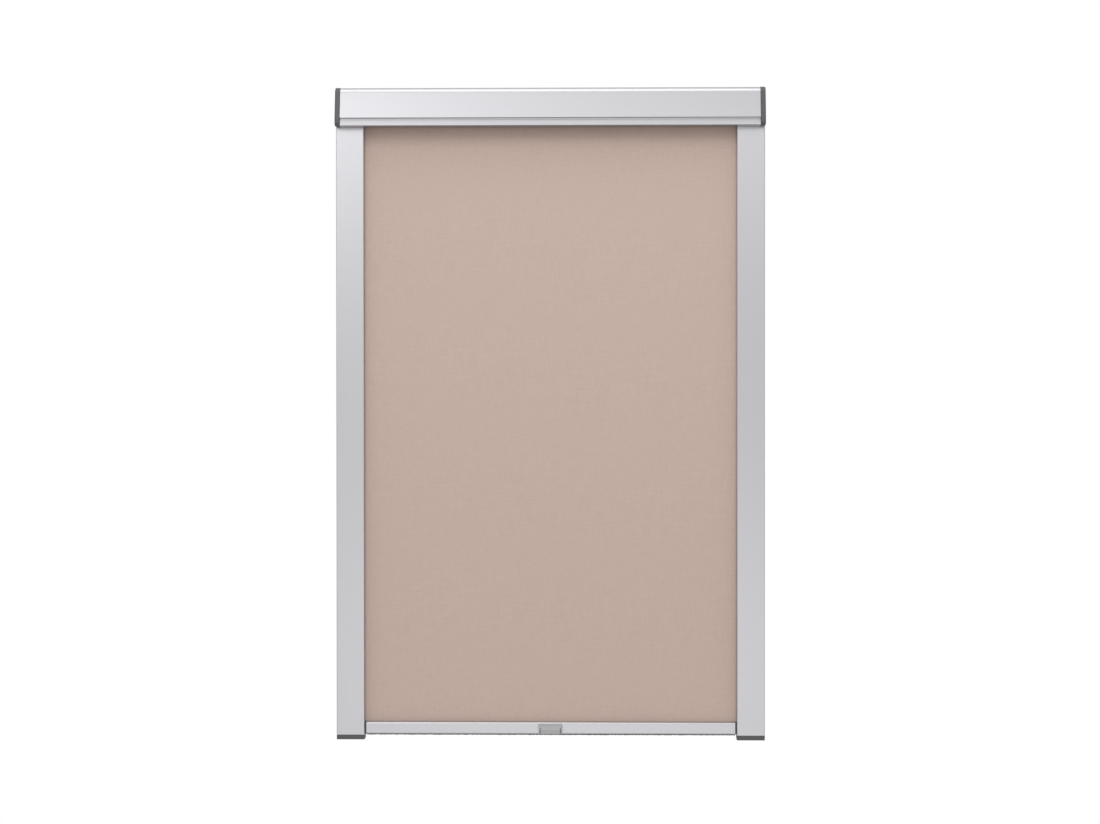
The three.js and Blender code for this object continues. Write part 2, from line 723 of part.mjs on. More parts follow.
// The fabric that stays on the roller: it comes up at the back, goes over the top and winds
// inwards to the groove.
function fabricWrap() {
  const outside = [];
  const inside = [];
  const steps = Math.round(wrapTurns * rollerSides);
  for (let i = 0; i <= steps; i++) {
    const angle = (fullTurn * i) / rollerSides;
    const middle = wrapOuter - (wrapPitch * i) / rollerSides;
    const spot = (radius) => new THREE.Vector2(radius * Math.cos(angle), radius * Math.sin(angle));
    outside.push(spot(middle + fabricThickness / 2));
    inside.push(spot(middle - fabricThickness / 2));
  }
  return beam([...outside, ...inside.reverse()], fabricStart, blindWidth - fabricStart);
}

const clampStrip = () =>
  beam(rectangle(
    -grooveWidth / 2 + seatGap, grooveWidth / 2 - seatGap,
    grooveFloor + seatGap, grooveFloor + seatGap + clampStripHeight - seatGap,
  ), fabricStart, blindWidth - fabricStart);

// The hanging fabric, from the back of the roller to the hem in the bar.
const hangingFabric = () =>
  block(fabricStart, blindWidth - fabricStart,
    -fabricDepth - fabricThickness / 2, -fabricDepth + fabricThickness / 2, barTop, -seatGap);

const hemZ = barHeight - hemBoreDepth;

// The pull bar: an extrusion with a bore for the fabric's hem, a hollow in front of and below it
// for the guides' spigots, and a groove for the light seal.
function pullBar() {
  const half = hemSlotWidth / 2;
  const slotAngle = Math.asin(half / hemBoreRadius);
  const bore = [];
  for (let i = 0; i <= 14; i++) {
    const angle = Math.PI / 2 + slotAngle + ((fullTurn - 2 * slotAngle) * i) / 14;
    bore.push([-fabricDepth + hemBoreRadius * Math.cos(angle), hemZ + hemBoreRadius * Math.sin(angle)]);
  }
  const grooveHalf = sealRootWidth / 2 + seatGap;
  const grooveTop = sealRootHeight + seatGap;
  const section = outline([
    [-barBackDepth, barHeight, barEdgeRadius],
    [-fabricDepth + half, barHeight],
    ...bore.slice().reverse(),
    [-fabricDepth - half, barHeight - hemSlotLead],
    [-barFrontDepth, barHeight + barCrestRise, barCrestRadius],
    [-barFrontDepth, 0, barEdgeRadius],
    [barMiddle - grooveHalf, 0],
    [barMiddle - grooveHalf, grooveTop],
    [barMiddle + grooveHalf, grooveTop],
    [barMiddle + grooveHalf, 0],
    [-barBackDepth, 0, barEdgeRadius],
  ]);
  const studHoles = handleStuds(handleStudRadius + seatGap,
    -barFrontDepth - cutOverrun, -barFrontDepth + barWall + cutOverrun / 2);
  return cut(beam(section, barStart, barEnd, [barHollow(0)]), ...studHoles);
}

const barMiddle = -(barFrontDepth + barBackDepth) / 2;

// The two studs that hold the handle, or their holes.
const handleStuds = (radius, from, to) =>
  about(blindWidth / 2, handleStudSpread).map((x) => slab(circle(x, barHeight / 2, radius, 12), from, to));

// The hollow of the bar, or what fits in it with a gap.
function barHollow(gap) {
  const front = -barFrontDepth + barWall + gap;
  const back = -barBackDepth - barWall - gap;
  const foot = sealRootHeight + seatGap + barWall + gap;
  const top = barHeight - barWall - gap;
  const shelf = hemZ - hemBoreRadius - barWall - gap;
  const wall = -fabricDepth - hemBoreRadius - barWall - gap;
  return outline([[front, foot], [back, foot], [back, shelf], [wall, shelf], [wall, top], [front, top]]);
}

// Pile strip that closes the gap under the bar, held by a root in the bar's groove.
const lightSeal = () =>
  join(
    block(barStart, barEnd, ...about(barMiddle, sealWidth), -sealDrop, -seatGap),
    block(barStart, barEnd, ...about(barMiddle, sealRootWidth), -seatGap * 2, sealRootHeight),
  );

const hemRod = () => rod(-fabricDepth, hemZ, hemRodRadius, barStart, barEnd, 14);

// The fabric's hem: it comes down the slot, goes round the rod and is welded to itself.
function fabricHem() {
  const inner = hemRodRadius + seatGap;
  const neck = block(barStart, barEnd, ...about(-fabricDepth, 2 * fabricThickness),
    hemZ + inner + fabricThickness / 2, barHeight - seatGap);
  const loop = beam(circle(-fabricDepth, hemZ, inner + fabricThickness, 18), barStart, barEnd,
    [circle(-fabricDepth, hemZ, inner, 18)]);
  return join(loop, neck);
}

const guideNeckThickness = mouthWidth - 2 * turnGap;
const guideFoot = railFoot + footStopHeight + turnGap - barFoot;
const guideStart = channelStart + turnGap + seatGap;
const guideEnd = channelEnd - turnGap;
const guideFront = railFrontInside + turnGap;
const guideBack = -railWall - turnGap;

// A guide: a block that slides in the rail's channel, split above the bar for the fabric and
// recessed for the brake, a neck through the rail's mouth, a flange and a spigot in the bar.
function barGuide() {
  const neckFoot = sealRootHeight + barWall;
  const flangeEnd = barStart - seatGap;
  const flangeFace = outline([
    [-barFrontDepth + seatGap, 0, barEdgeRadius],
    [-barBackDepth - seatGap, 0, barEdgeRadius],
    [-barBackDepth - seatGap, barHeight, barEdgeRadius],
    [-barFrontDepth + seatGap, barHeight, barCrestRadius],
  ], 3);
  const body = join(
    block(guideStart, guideEnd, guideFront, guideBack, guideFoot, guideTop),
    block(guideEnd - cutOverrun, flangeEnd, ...about(-fabricDepth, guideNeckThickness),
      neckFoot, neckFoot + guideNeckHeight),
    beam(flangeFace, flangeEnd - guideFlange, flangeEnd),
    beam(barHollow(seatGap), flangeEnd - cutOverrun, barStart + guideSpigotLength),
  );
  const fabricSlot = block(guideStart - cutOverrun, guideEnd + cutOverrun,
    ...about(-fabricDepth, guideFabricSlot), barHeight - seatGap, guideTop + cutOverrun);
  const brakeRecess = block(guideStart - cutOverrun, guideStart + brakeRecessDepth,
    ...about(brakeMiddle, brakeRecessWidth), ...about(brakeCentre, brakeRecessHeight));
  return cut(body, fabricSlot, brakeRecess);
}

const brakeMiddle = (guideFront + guideBack) / 2;
const brakeCentre = guideFoot + brakeRecessHeight / 2 + (barHeight - guideFoot - brakeRecessHeight) / 2;
const padStart = channelStart + seatGap;
const brakePadHeight = brakeRecessHeight - 2 * turnGap;
const brakePadWidth = brakeRecessWidth - 2 * turnGap;

const brakePad = () =>
  block(padStart, padStart + brakePadThickness,
    ...about(brakeMiddle, brakePadWidth), ...about(brakeCentre, brakePadHeight));

// A bowed leaf of spring steel that presses the pad against the rail's partition.
function brakeLeaf() {
  const half = brakePadHeight / 2;
  const floor = guideStart + brakeRecessDepth - seatGap - brakeLeafThickness;
  const rise = floor - (padStart + brakePadThickness + seatGap);
  const near = [];
  const far = [];
  for (let i = 0; i <= 10; i++) {
    const share = i / 10;
    const bow = rise * Math.sin(Math.PI * share);
    const z = brakeCentre - half + brakePadHeight * share;
    near.push(new THREE.Vector2(floor - bow, z));
    far.push(new THREE.Vector2(floor - bow + brakeLeafThickness, z));
  }
  return slab([...near, ...far.reverse()], ...about(brakeMiddle, brakePadWidth - 2 * seatGap));
}

// The handle: a plate on the bar's front whose foot curves out into a lip, between two thin ribs.
function pullHandle() {
  const back = -barFrontDepth - seatGap;
  const face = back - handlePlate;
  const tip = -barFrontDepth - handleReach;
  const top = barHeight - handleTopMargin;
  const lipTop = handleLipHeight + handleFootRise;
  const sweep = [];
  for (let i = 0; i <= 7; i++) {
    const angle = (Math.PI / 2) * (i / 7);
    sweep.push([tip + (face - tip) * Math.sin(angle), lipTop + (top - lipTop) * (1 - Math.cos(angle))]);
  }
  const side = outline([
    ...sweep.reverse(),
    [tip, handleFootRise, handleTipRadius],
    [back, handleFootRise],
    [back, top],
  ]);
  const middle = blindWidth / 2;
  const grip = beam(side, ...about(middle, handleGripWidth));
  const plate = block(...about(middle, handlePlateWidth), face, back, handleFootRise + handlePlateRise, top);
  const studs = handleStuds(handleStudRadius, back - handlePlate / 2, -barFrontDepth + handleStudLength);
  const slots = [-1, 1].map((way) => block(
    ...about(middle + way * (handleSlotStart + handleSlotWidth / 2), handleSlotWidth),
    tip - cutOverrun, face + seatGap, handleFootRise - cutOverrun, handleFootRise + handleSlotRise));
  return cut(join(grip, plate, ...studs), ...slots);
}

// The two sides are built from an outer face inwards, and the right side is the mirror of the left.
function sideGroup(way) {
  const group = new THREE.Group();
  group.position.x = (way * blindWidth) / 2;
  group.scale.x = -way;
  return group;
}

const blind = new THREE.Group();
blind.name = "skylight_roller_blind";

const cassette = sideGroup(-1);
cassette.add(
  piece("cassette_back_shell", cassetteBack(), aluminium),
  piece("cassette_front_cover", cassetteCover(), aluminium),
);
blind.add(cassette);

const roller = sideGroup(-1);
roller.position.y = rollerY;
roller.add(
  piece("roller_tube", rollerTube(), aluminium),
  piece("shaft_bearing_plug", tubePlug(shaftRadius + turnGap, plugLength), whitePlastic),
  piece("spring_driver_plug", springDriver(), whitePlastic),
  piece("spring_shaft", springShaft(), steel),
  piece("spring_anchor", springAnchor(), whitePlastic),
  piece("torsion_spring", torsionSpring(), springSteel),
  piece("shaft_retaining_clip", retainingClip(), springSteel),
  piece("fabric_wrap", fabricWrap(), fabricCloth),
  piece("fabric_clamp_strip", clampStrip(), whitePlastic),
);
blind.add(roller);

const idleEnd = sideGroup(1);
idleEnd.position.y = rollerY;
const bushStart = socketStart + seatGap;
const pinStart = bushStart + seatGap;
idleEnd.add(
  piece("idle_plug", tubePlug(idlePinRadius + seatGap, idlePlugLength), whitePlastic),
  piece("idle_pin", rod(0, 0, idlePinRadius, pinStart, pinStart + idlePinLength, 20), steel),
  piece("idle_bush", beam(circle(0, 0, bushRadius, 20), bushStart, bushStart + bushLength,
    [circle(0, 0, idlePinRadius + turnGap, 20)]), whitePlastic),
);
blind.add(idleEnd);

const bar = sideGroup(-1);
bar.position.z = barFoot;
bar.add(
  piece("pull_bar", pullBar(), aluminium),
  piece("bar_light_seal", lightSeal(), sealPile),
  piece("hem_rod", hemRod(), whitePlastic),
  piece("fabric_hem", fabricHem(), fabricCloth),
  piece("pull_handle", pullHandle(), greyPlastic),
);
blind.add(bar);

const fabric = sideGroup(-1);
fabric.add(piece("blackout_fabric", hangingFabric(), fabricCloth));
blind.add(fabric);

const screwStart = screwRecess - screwHeadHeight - seatGap;
for (const [side, way, socket] of [["left", -1, shaftSocket], ["right", 1, bushSocket]]) {
  const frame = sideGroup(way);
  frame.add(
    piece("end_cap_" + side, endCap(socket()), darkPlastic),
    piece("mounting_bracket_" + side, mountingBracket(), steel),
    piece("side_rail_" + side, sideRail(), aluminium),
    piece("rail_connector_" + side, railConnector(), darkPlastic),
    piece("rail_foot_" + side, railFootCap(), darkPlastic),
  );
  Object.values(ports).forEach(({ y, z }, i) => {
    const screw = piece("cap_screw_" + side + "_" + (i + 1), capScrew(), steel);
    screw.position.set(screwStart, y, z);
    frame.add(screw);
  });
  blind.add(frame);

  const barEnd = sideGroup(way);
  barEnd.position.z = barFoot;
  barEnd.add(
    piece("bar_guide_" + side, barGuide(), darkPlastic),
    piece("brake_pad_" + side, brakePad(), feltPad),
    piece("brake_leaf_" + side, brakeLeaf(), springSteel),
  );
  blind.add(barEnd);
}

export default blind;
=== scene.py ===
"""A roller blind for a roof window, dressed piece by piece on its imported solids, in metres."""

import math
import random

import bpy
from mathutils import Matrix, Vector


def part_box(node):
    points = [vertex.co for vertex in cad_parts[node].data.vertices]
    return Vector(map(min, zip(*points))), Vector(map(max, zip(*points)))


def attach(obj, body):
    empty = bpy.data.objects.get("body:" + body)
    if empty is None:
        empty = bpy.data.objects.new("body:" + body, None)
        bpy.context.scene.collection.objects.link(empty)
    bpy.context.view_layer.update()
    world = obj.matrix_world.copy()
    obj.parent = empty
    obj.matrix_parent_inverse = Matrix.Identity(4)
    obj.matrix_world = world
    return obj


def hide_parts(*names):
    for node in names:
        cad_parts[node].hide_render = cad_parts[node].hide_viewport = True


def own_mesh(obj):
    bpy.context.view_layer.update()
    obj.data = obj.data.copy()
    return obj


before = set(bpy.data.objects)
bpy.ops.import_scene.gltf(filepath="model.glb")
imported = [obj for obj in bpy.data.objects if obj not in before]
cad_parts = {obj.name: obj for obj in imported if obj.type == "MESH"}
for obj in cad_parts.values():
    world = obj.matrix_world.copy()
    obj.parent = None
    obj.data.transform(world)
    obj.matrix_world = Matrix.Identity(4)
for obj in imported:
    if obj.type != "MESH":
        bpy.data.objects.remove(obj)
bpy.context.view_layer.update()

# The photographer's place
# 3.4 m in front of the blind, level with its middle and a hand's breadth to the right, with a long lens.
# Lens and place are fitted to the edges of the blind in the photograph, which is 1100 pixels wide.

photo_width = 1100
focal_pixels = 2379.3
sensor_width = 36

camera_lens = bpy.data.cameras.new("camera")
camera_lens.sensor_fit = "HORIZONTAL"
camera_lens.sensor_width = sensor_width
camera_lens.lens = sensor_width * focal_pixels / photo_width
camera = bpy.data.objects.new("camera", camera_lens)
camera.location = (0.07373, -3.422, -0.40202)
camera.rotation_euler = (math.radians(90) - 0.00968, 0.00043, 0.02178)
bpy.context.scene.collection.objects.link(camera)
bpy.context.scene.camera = camera

# Cassette back shell
# An aluminium extrusion cut to length, etched and anodised in satin silver: the flat back that lies
# against the sash, half of the top and a tongue that the cover hooks over. Its two round ports take
# the screws of the end caps.

MM = 0.001
seat_gap = 0.3
cassette_wall = 1.3
back_foot_depth = 4.5
joint_depth = 14
tongue_length = 8
tongue_thickness = 1.2
port_outer = 2.7
port_inner = 1.5
port_reach = port_outer - 0.3
port_mouth = 1.1


def span(node):
    """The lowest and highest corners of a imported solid, in millimetres."""
    low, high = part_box(node)
    return low / MM, high / MM


def spot(a, b, distance, along):
    """A point of a section at a distance along an axis, in metres."""
    return MM * Vector({"X": (distance, a, b), "Y": (a, distance, b), "Z": (a, b, distance)}[along])


def rounded(corners, steps):
    """The points of an outline whose corners are (a, b), or (a, b, radius) where they are round."""
    points = []
    for i, corner in enumerate(corners):
        here = Vector(corner[:2])
        if len(corner) < 3:
            points.append(here)
            continue
        back = (Vector(corners[i - 1][:2]) - here).normalized()
        on = (Vector(corners[(i + 1) % len(corners)][:2]) - here).normalized()
        half = back.angle(on) / 2
        middle = here + (back + on).normalized() * corner[2] / math.sin(half)
        start = here + back * corner[2] / math.tan(half) - middle
        turn = (here + on * corner[2] / math.tan(half) - middle).angle_signed(start)
        points += [middle + Matrix.Rotation(turn * step / steps, 2) @ start for step in range(steps + 1)]
    return points


def placed(name, scale=(1, 1, 1)):
    """Names the piece that was just added, and applies its place, its turn and a scale."""
    piece = bpy.context.object
    piece.name = piece.data.name = name
    piece.scale = scale
    bpy.ops.object.transform_apply()
    return piece


def line(name, points):
    """Draws a line of joined vertices from point to point, and leaves it selected in edit mode."""
    bpy.ops.object.select_all(action="DESELECT")
    bpy.ops.mesh.primitive_plane_add(size=MM, calc_uvs=False, location=points[0])
    piece = placed(name)
    bpy.ops.object.mode_set(mode="EDIT")
    bpy.ops.mesh.merge(type="CENTER")
    for before, after in zip(points, points[1:]):
        bpy.ops.mesh.extrude_vertices_move(TRANSFORM_OT_translate={"value": after - before})
    bpy.ops.mesh.select_all(action="SELECT")
    return piece


def closed(piece):
    """Turns the faces of a piece in edit mode outwards, and goes back to object mode."""
    bpy.ops.mesh.select_all(action="SELECT")
    bpy.ops.mesh.normals_make_consistent(inside=False)
    bpy.ops.object.mode_set(mode="OBJECT")
    return piece


def drawn(name, corners, start, end, along="X", steps=8):
    """A section in millimetres, drawn corner by corner, filled, and pulled out from start to end."""
    piece = line(name, [spot(*point, start, along) for point in rounded(corners, steps)])
    bpy.ops.mesh.edge_face_add()
    bpy.ops.mesh.extrude_region_move(TRANSFORM_OT_translate={"value": spot(0, 0, end - start, along)})
    return closed(piece)


def taken(piece):
    """Selects a piece alone, and makes it the active one."""
    bpy.ops.object.select_all(action="DESELECT")
    piece.select_set(True)
    bpy.context.view_layer.objects.active = piece


def applied(piece, kind, **settings):
    """Gives a piece a modifier and applies it."""
    taken(piece)
    modifier = piece.modifiers.new(kind, kind)
    for setting, value in settings.items():
        setattr(modifier, setting, value)
    bpy.ops.object.modifier_apply(modifier=modifier.name)
    return piece


def worked(piece, operation, *tools):
    """Joins tools to a piece, operation UNION, or cuts them from it, operation DIFFERENCE.

    A tool runs a millimetre past the face that it cuts through.
    """
    for tool in tools:
        applied(piece, "BOOLEAN", operation=operation, object=tool, solver="EXACT")
        bpy.data.objects.remove(tool)
    return applied(piece, "WELD", merge_threshold=0.002 * MM)


def smoothed(angle=50):
    """Shades the active piece smooth between faces that meet at less than an angle in degrees."""
    bpy.ops.object.shade_smooth_by_angle(angle=math.radians(angle))


def eased(piece, width, segments=2):
    """Breaks the sharp edges of a piece by a width in millimetres, and shades its flats flat."""
    applied(piece, "BEVEL", width=width * MM, segments=segments, limit_method="ANGLE",
            angle_limit=math.radians(32), use_clamp_overlap=False)
    smoothed()
    return applied(piece, "WEIGHTED_NORMAL", keep_sharp=True)


def fitted(piece, material, body, slot, *nodes):
    """Gives a piece its finish and its body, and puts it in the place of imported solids."""
    piece.data.materials.append(material)
    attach(piece, body)
    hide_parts(*nodes)


def colour(code):
    """The linear colour of an sRGB hex value."""
    shares = [int(code[i:i + 2], 16) / 255 for i in (1, 3, 5)]
    return [s / 12.92 if s <= 0.04045 else ((s + 0.055) / 1.055) ** 2.4 for s in shares] + [1]


def node(tree, kind, links=None, **settings):
    """Adds a node: links gives its inputs a value or another node's output, settings its settings."""
    made = tree.nodes.new("ShaderNode" + kind)
    for setting, value in settings.items():
        setattr(made, setting, value)
    for name, value in (links or {}).items():
        if isinstance(value, bpy.types.NodeSocket):
            tree.links.new(value, made.inputs[name])
        else:
            made.inputs[name].default_value = value
    return made


def finish(name, **sockets):
    """A new material with plain values on its shader's sockets: the node tree, the shader, the place."""
    material = bpy.data.materials.new(name)
    material.use_nodes = True
    tree = material.node_tree
    surface = tree.nodes["Principled BSDF"]
    for socket, value in sockets.items():
        surface.inputs[socket.replace("_", " ")].default_value = value
    return material, tree, surface, node(tree, "TexCoord").outputs["Object"]


def noise(tree, place, size, detail=2):
    """A noise whose grain has a size in millimetres."""
    made = node(tree, "TexNoise", {"Vector": place, "Scale": 1 / (size * MM), "Detail": detail})
    return made.outputs["Fac"]


def streaks(tree, place, run, length, width, detail=2):
    """A noise drawn out along an axis, its length and width in millimetres."""
    scale = [1 / ((length if axis == run else width) * MM) for axis in "XYZ"]
    scaled = node(tree, "Mapping", {"Vector": place, "Scale": scale}).outputs["Vector"]
    return noise(tree, scaled, 1 / MM, detail)


def shaded(tree, surface, share, first, last, gloss=None, relief=None):
    """Runs a material's colour from first to last, and its roughness and relief where it has them.

    The roughness is (share, lowest, highest), the relief (height, strength, depth in millimetres).
    """
    shade = node(tree, "MixRGB", {"Fac": share, "Color1": first, "Color2": last})
    tree.links.new(shade.outputs["Color"], surface.inputs["Base Color"])
    if gloss:
        rough = node(tree, "MapRange", {"Value": gloss[0], "To Min": gloss[1], "To Max": gloss[2]})
        tree.links.new(rough.outputs["Result"], surface.inputs["Roughness"])
    if relief:
        bump = node(tree, "Bump", {"Height": relief[0], "Strength": relief[1], "Distance": relief[2] * MM})
        tree.links.new(bump.outputs["Normal"], surface.inputs["Normal"])


def anodised(name, run):
    """Anodised aluminium: metal whose etched skin scatters its gloss, with die lines along its run.

    A die line is a few hundredths of a millimetre wide. They are drawn 0.5 mm apart and 300 mm long,
    so that some of them show.
    """
    line_pitch, line_length, etch_grain = 0.5, 300, 0.35
    material, tree, surface, place = finish(name, Metallic=1)
    lines = streaks(tree, place, run, line_length, line_pitch)
    grain = noise(tree, place, etch_grain, detail=1)
    shaded(tree, surface, lines, colour("#A6A5A8"), colour("#ABAAAD"),
           gloss=(grain, 0.32, 0.40), relief=(lines, 0.12, 0.01))
    return material


def screw_port(place, mouth, start, end):
    """A ring round a screw's place, open on one side, as a die makes it."""
    sides = 20
    turns = [mouth + port_mouth / 2 + (2 * math.pi - port_mouth) * i / sides for i in range(sides + 1)]
    way = [Vector((math.cos(turn), math.sin(turn))) for turn in turns]
    ring = [place + port_outer * w for w in way] + [place + port_inner * w for w in reversed(way)]
    return drawn("port", ring, start, end)


shell_low, shell_high = span("cassette_back_shell")
cassette_top, cassette_foot = shell_high.z, shell_low.z
tongue_top = cassette_top - cassette_wall - seat_gap
tongue_foot = tongue_top - tongue_thickness
port_foot_z = cassette_foot + cassette_wall + port_reach
back_top_port = Vector((-cassette_wall - port_reach, tongue_foot - port_reach))
back_foot_port = Vector((-cassette_wall - port_reach, port_foot_z))

anodised_across = anodised("anodised aluminium, drawn across", "X")
back_shell = drawn("back_shell", [
    (0, cassette_top),
    (0, cassette_foot),
    (-back_foot_depth, cassette_foot),
    (-back_foot_depth, cassette_foot + cassette_wall),
    (-cassette_wall, cassette_foot + cassette_wall),
    (-cassette_wall, tongue_foot),
    (-joint_depth - tongue_length, tongue_foot),
    (-joint_depth - tongue_length, tongue_top),
    (seat_gap - joint_depth, tongue_top),
    (seat_gap - joint_depth, cassette_top),
], shell_low.x, shell_high.x)
worked(back_shell, "UNION",
       screw_port(back_top_port, -0.75 * math.pi, shell_low.x, shell_high.x),
       screw_port(back_foot_port, 0.75 * math.pi, shell_low.x, shell_high.x))
eased(back_shell, 0.15)
fitted(back_shell, anodised_across, "blind_frame", "anodised_aluminium", "cassette_back_shell")

# Cassette front cover
# The extrusion that shows: a round nose, a face that leans back, a step, and a lip that curves forward
# to the foot. It hooks over the back shell, and the edge of the fabric's slot is turned up.

cover_depth = 41.354  # of the face's foot, from the back of the blind
face_lean = 8.8
nose_radius = 10
face_edge_radius = 0.8
lip_height = 11.2
lip_setback = 4
lip_flare = 3.6
lip_fillet = 1.4
lip_radius = 1.5
slot_depth = 16
slot_hem = 4

face_foot = cassette_foot + lip_height
lip_depth = cover_depth - lip_setback


def face_y(z):
    """How far forward the leaning face is at a height."""
    return (z - face_foot) * face_lean / (cassette_top - face_foot) - cover_depth


lip_port = Vector((-lip_depth + cassette_wall + port_reach, port_foot_z))
nose_port_z = cassette_top - nose_radius - port_outer
nose_port = Vector((face_y(nose_port_z) + cassette_wall + port_reach, nose_port_z))
ceiling = cassette_top - cassette_wall
step_inside = face_foot + cassette_wall

cover_low, cover_high = span("cassette_front_cover")
front_cover = drawn("front_cover", [
    (-joint_depth, cassette_top),
    (face_y(cassette_top), cassette_top, nose_radius),
    (-cover_depth, face_foot, face_edge_radius),
    (-lip_depth, face_foot, lip_fillet),
    (-lip_depth - lip_flare, cassette_foot, lip_radius),
    (-slot_depth, cassette_foot),
    (-slot_depth, cassette_foot + slot_hem),
    (-slot_depth - cassette_wall, cassette_foot + slot_hem),
    (-slot_depth - cassette_wall, cassette_foot + cassette_wall),
    (-lip_depth + cassette_wall, cassette_foot + cassette_wall),
    (-lip_depth + cassette_wall, step_inside),
    (face_y(step_inside) + cassette_wall, step_inside),
    (face_y(ceiling) + cassette_wall, ceiling, nose_radius - cassette_wall),
    (-joint_depth, ceiling),
], cover_low.x, cover_high.x, steps=16)
worked(front_cover, "UNION",
       screw_port(lip_port, 0.25 * math.pi, cover_low.x, cover_high.x),
       screw_port(nose_port, 0, cover_low.x, cover_high.x))
eased(front_cover, 0.2, segments=3)
fitted(front_cover, anodised_across, "blind_frame", "anodised_aluminium", "cassette_front_cover")

# End caps
# Injection-moulded in dark grey ABS with a fine spark-eroded grain. Each closes an end of the cassette,
# locates the shells on three lugs, and carries the roller in a boss. Counterbored holes take its
# screws, a recess takes its bracket and a pocket takes the connector of its rail.

SIDES = (("left", -1), ("right", 1))
cap_thickness = 7
cap_overhang = 0.4  # over the shells' top and face; the foot is flush
cap_edge = 1.2
cap_nose_radius = 10.4
cap_bend_radius = 36  # where the front turns upright
cap_foot_radius = 6
cap_back_radius = 1.8
cap_proud = 0.423  # of the cover's face
lug_length = 7
lug_thickness = 2.6
lug_margin = 4
boss_radius = 7.5
boss_length = 4.5
socket_depth = 3.7  # from the outer face
socket_end = 13
tang_socket_half = (2.8, 1.8)
bush_socket_radius = 5.3
screw_recess = 2.6
head_radius = 2.6

outer_face = span("end_cap_right")[1].x
roller_y = sum(corner.y for corner in span("idle_pin")) / 2


def inwards(way):
    """What turns a distance inwards from a side's outer face into a place along X."""
    return lambda inset: way * (outer_face - inset)


def block(name, low, high):
    """A box between two corners in millimetres."""
    low, high = MM * Vector(low), MM * Vector(high)
    bpy.ops.object.select_all(action="DESELECT")
    bpy.ops.mesh.primitive_cube_add(size=1, calc_uvs=False, location=(low + high) / 2)
    return placed(name, [abs(length) for length in high - low])


def pin(name, radius, centre, start, end, along="X", sides=48):
    """A round bar in millimetres, whose centre is a point of the section that it runs across."""
    turn = {"X": (0, math.pi / 2, 0), "Y": (math.pi / 2, 0, 0), "Z": (0, 0, 0)}[along]
    bpy.ops.object.select_all(action="DESELECT")
    bpy.ops.mesh.primitive_cylinder_add(
        vertices=sides, radius=radius * MM, depth=abs(end - start) * MM, calc_uvs=False,
        location=spot(*centre, (start + end) / 2, along), rotation=turn)
    return placed(name)


def chosen(piece, test):
    """Selects the corners of a piece that pass a test, in millimetres, and goes into edit mode."""
    taken(piece)
    bpy.ops.object.mode_set(mode="EDIT")
    bpy.ops.mesh.select_all(action="DESELECT")
    bpy.ops.object.mode_set(mode="OBJECT")
    for corner in piece.data.vertices:
        corner.select = test(corner.co / MM)
    bpy.ops.object.mode_set(mode="EDIT")


def bevelled(piece, test, width, segments):
    """Bevels the edges between the corners of a piece that pass a test, by a width in millimetres."""
    chosen(piece, test)
    bpy.ops.mesh.bevel(offset=width * MM, segments=segments, affect="EDGES")
    bpy.ops.object.mode_set(mode="OBJECT")


def moulded(name, code, rough, grain):
    """Moulded plastic: the spark-eroded mould leaves a fine grain that breaks up its gloss.

    The grain is about 0.15 mm across. It is drawn as coarse as given, so that it shows.
    """
    cloud_size = 1000 / 60
    material, tree, surface, place = finish(name, IOR=1.53)
    spots = noise(tree, place, grain)
    base = colour(code)
    dim = [0.94 * share for share in base[:3]] + [1]
    shaded(tree, surface, noise(tree, place, cloud_size), dim, base,
           gloss=(spots, rough - 0.06, rough + 0.06), relief=(spots, 0.25, 0.03))
    return material


dark_abs = moulded("moulded ABS, dark grey", "#454547", 0.5, 0.35)
ports = (back_top_port, back_foot_port, lip_port, nose_port)
bracket_low, bracket_high = span("mounting_bracket_right")
bracket_y = (bracket_low.y + bracket_high.y) / 2
tongue_half = 4.5
bracket_sheet = 2
connector_low, connector_high = span("rail_connector_right")
pocket_y = -12.5
pocket_start, pocket_end, pocket_half = 1.8, 5.8, 4.8

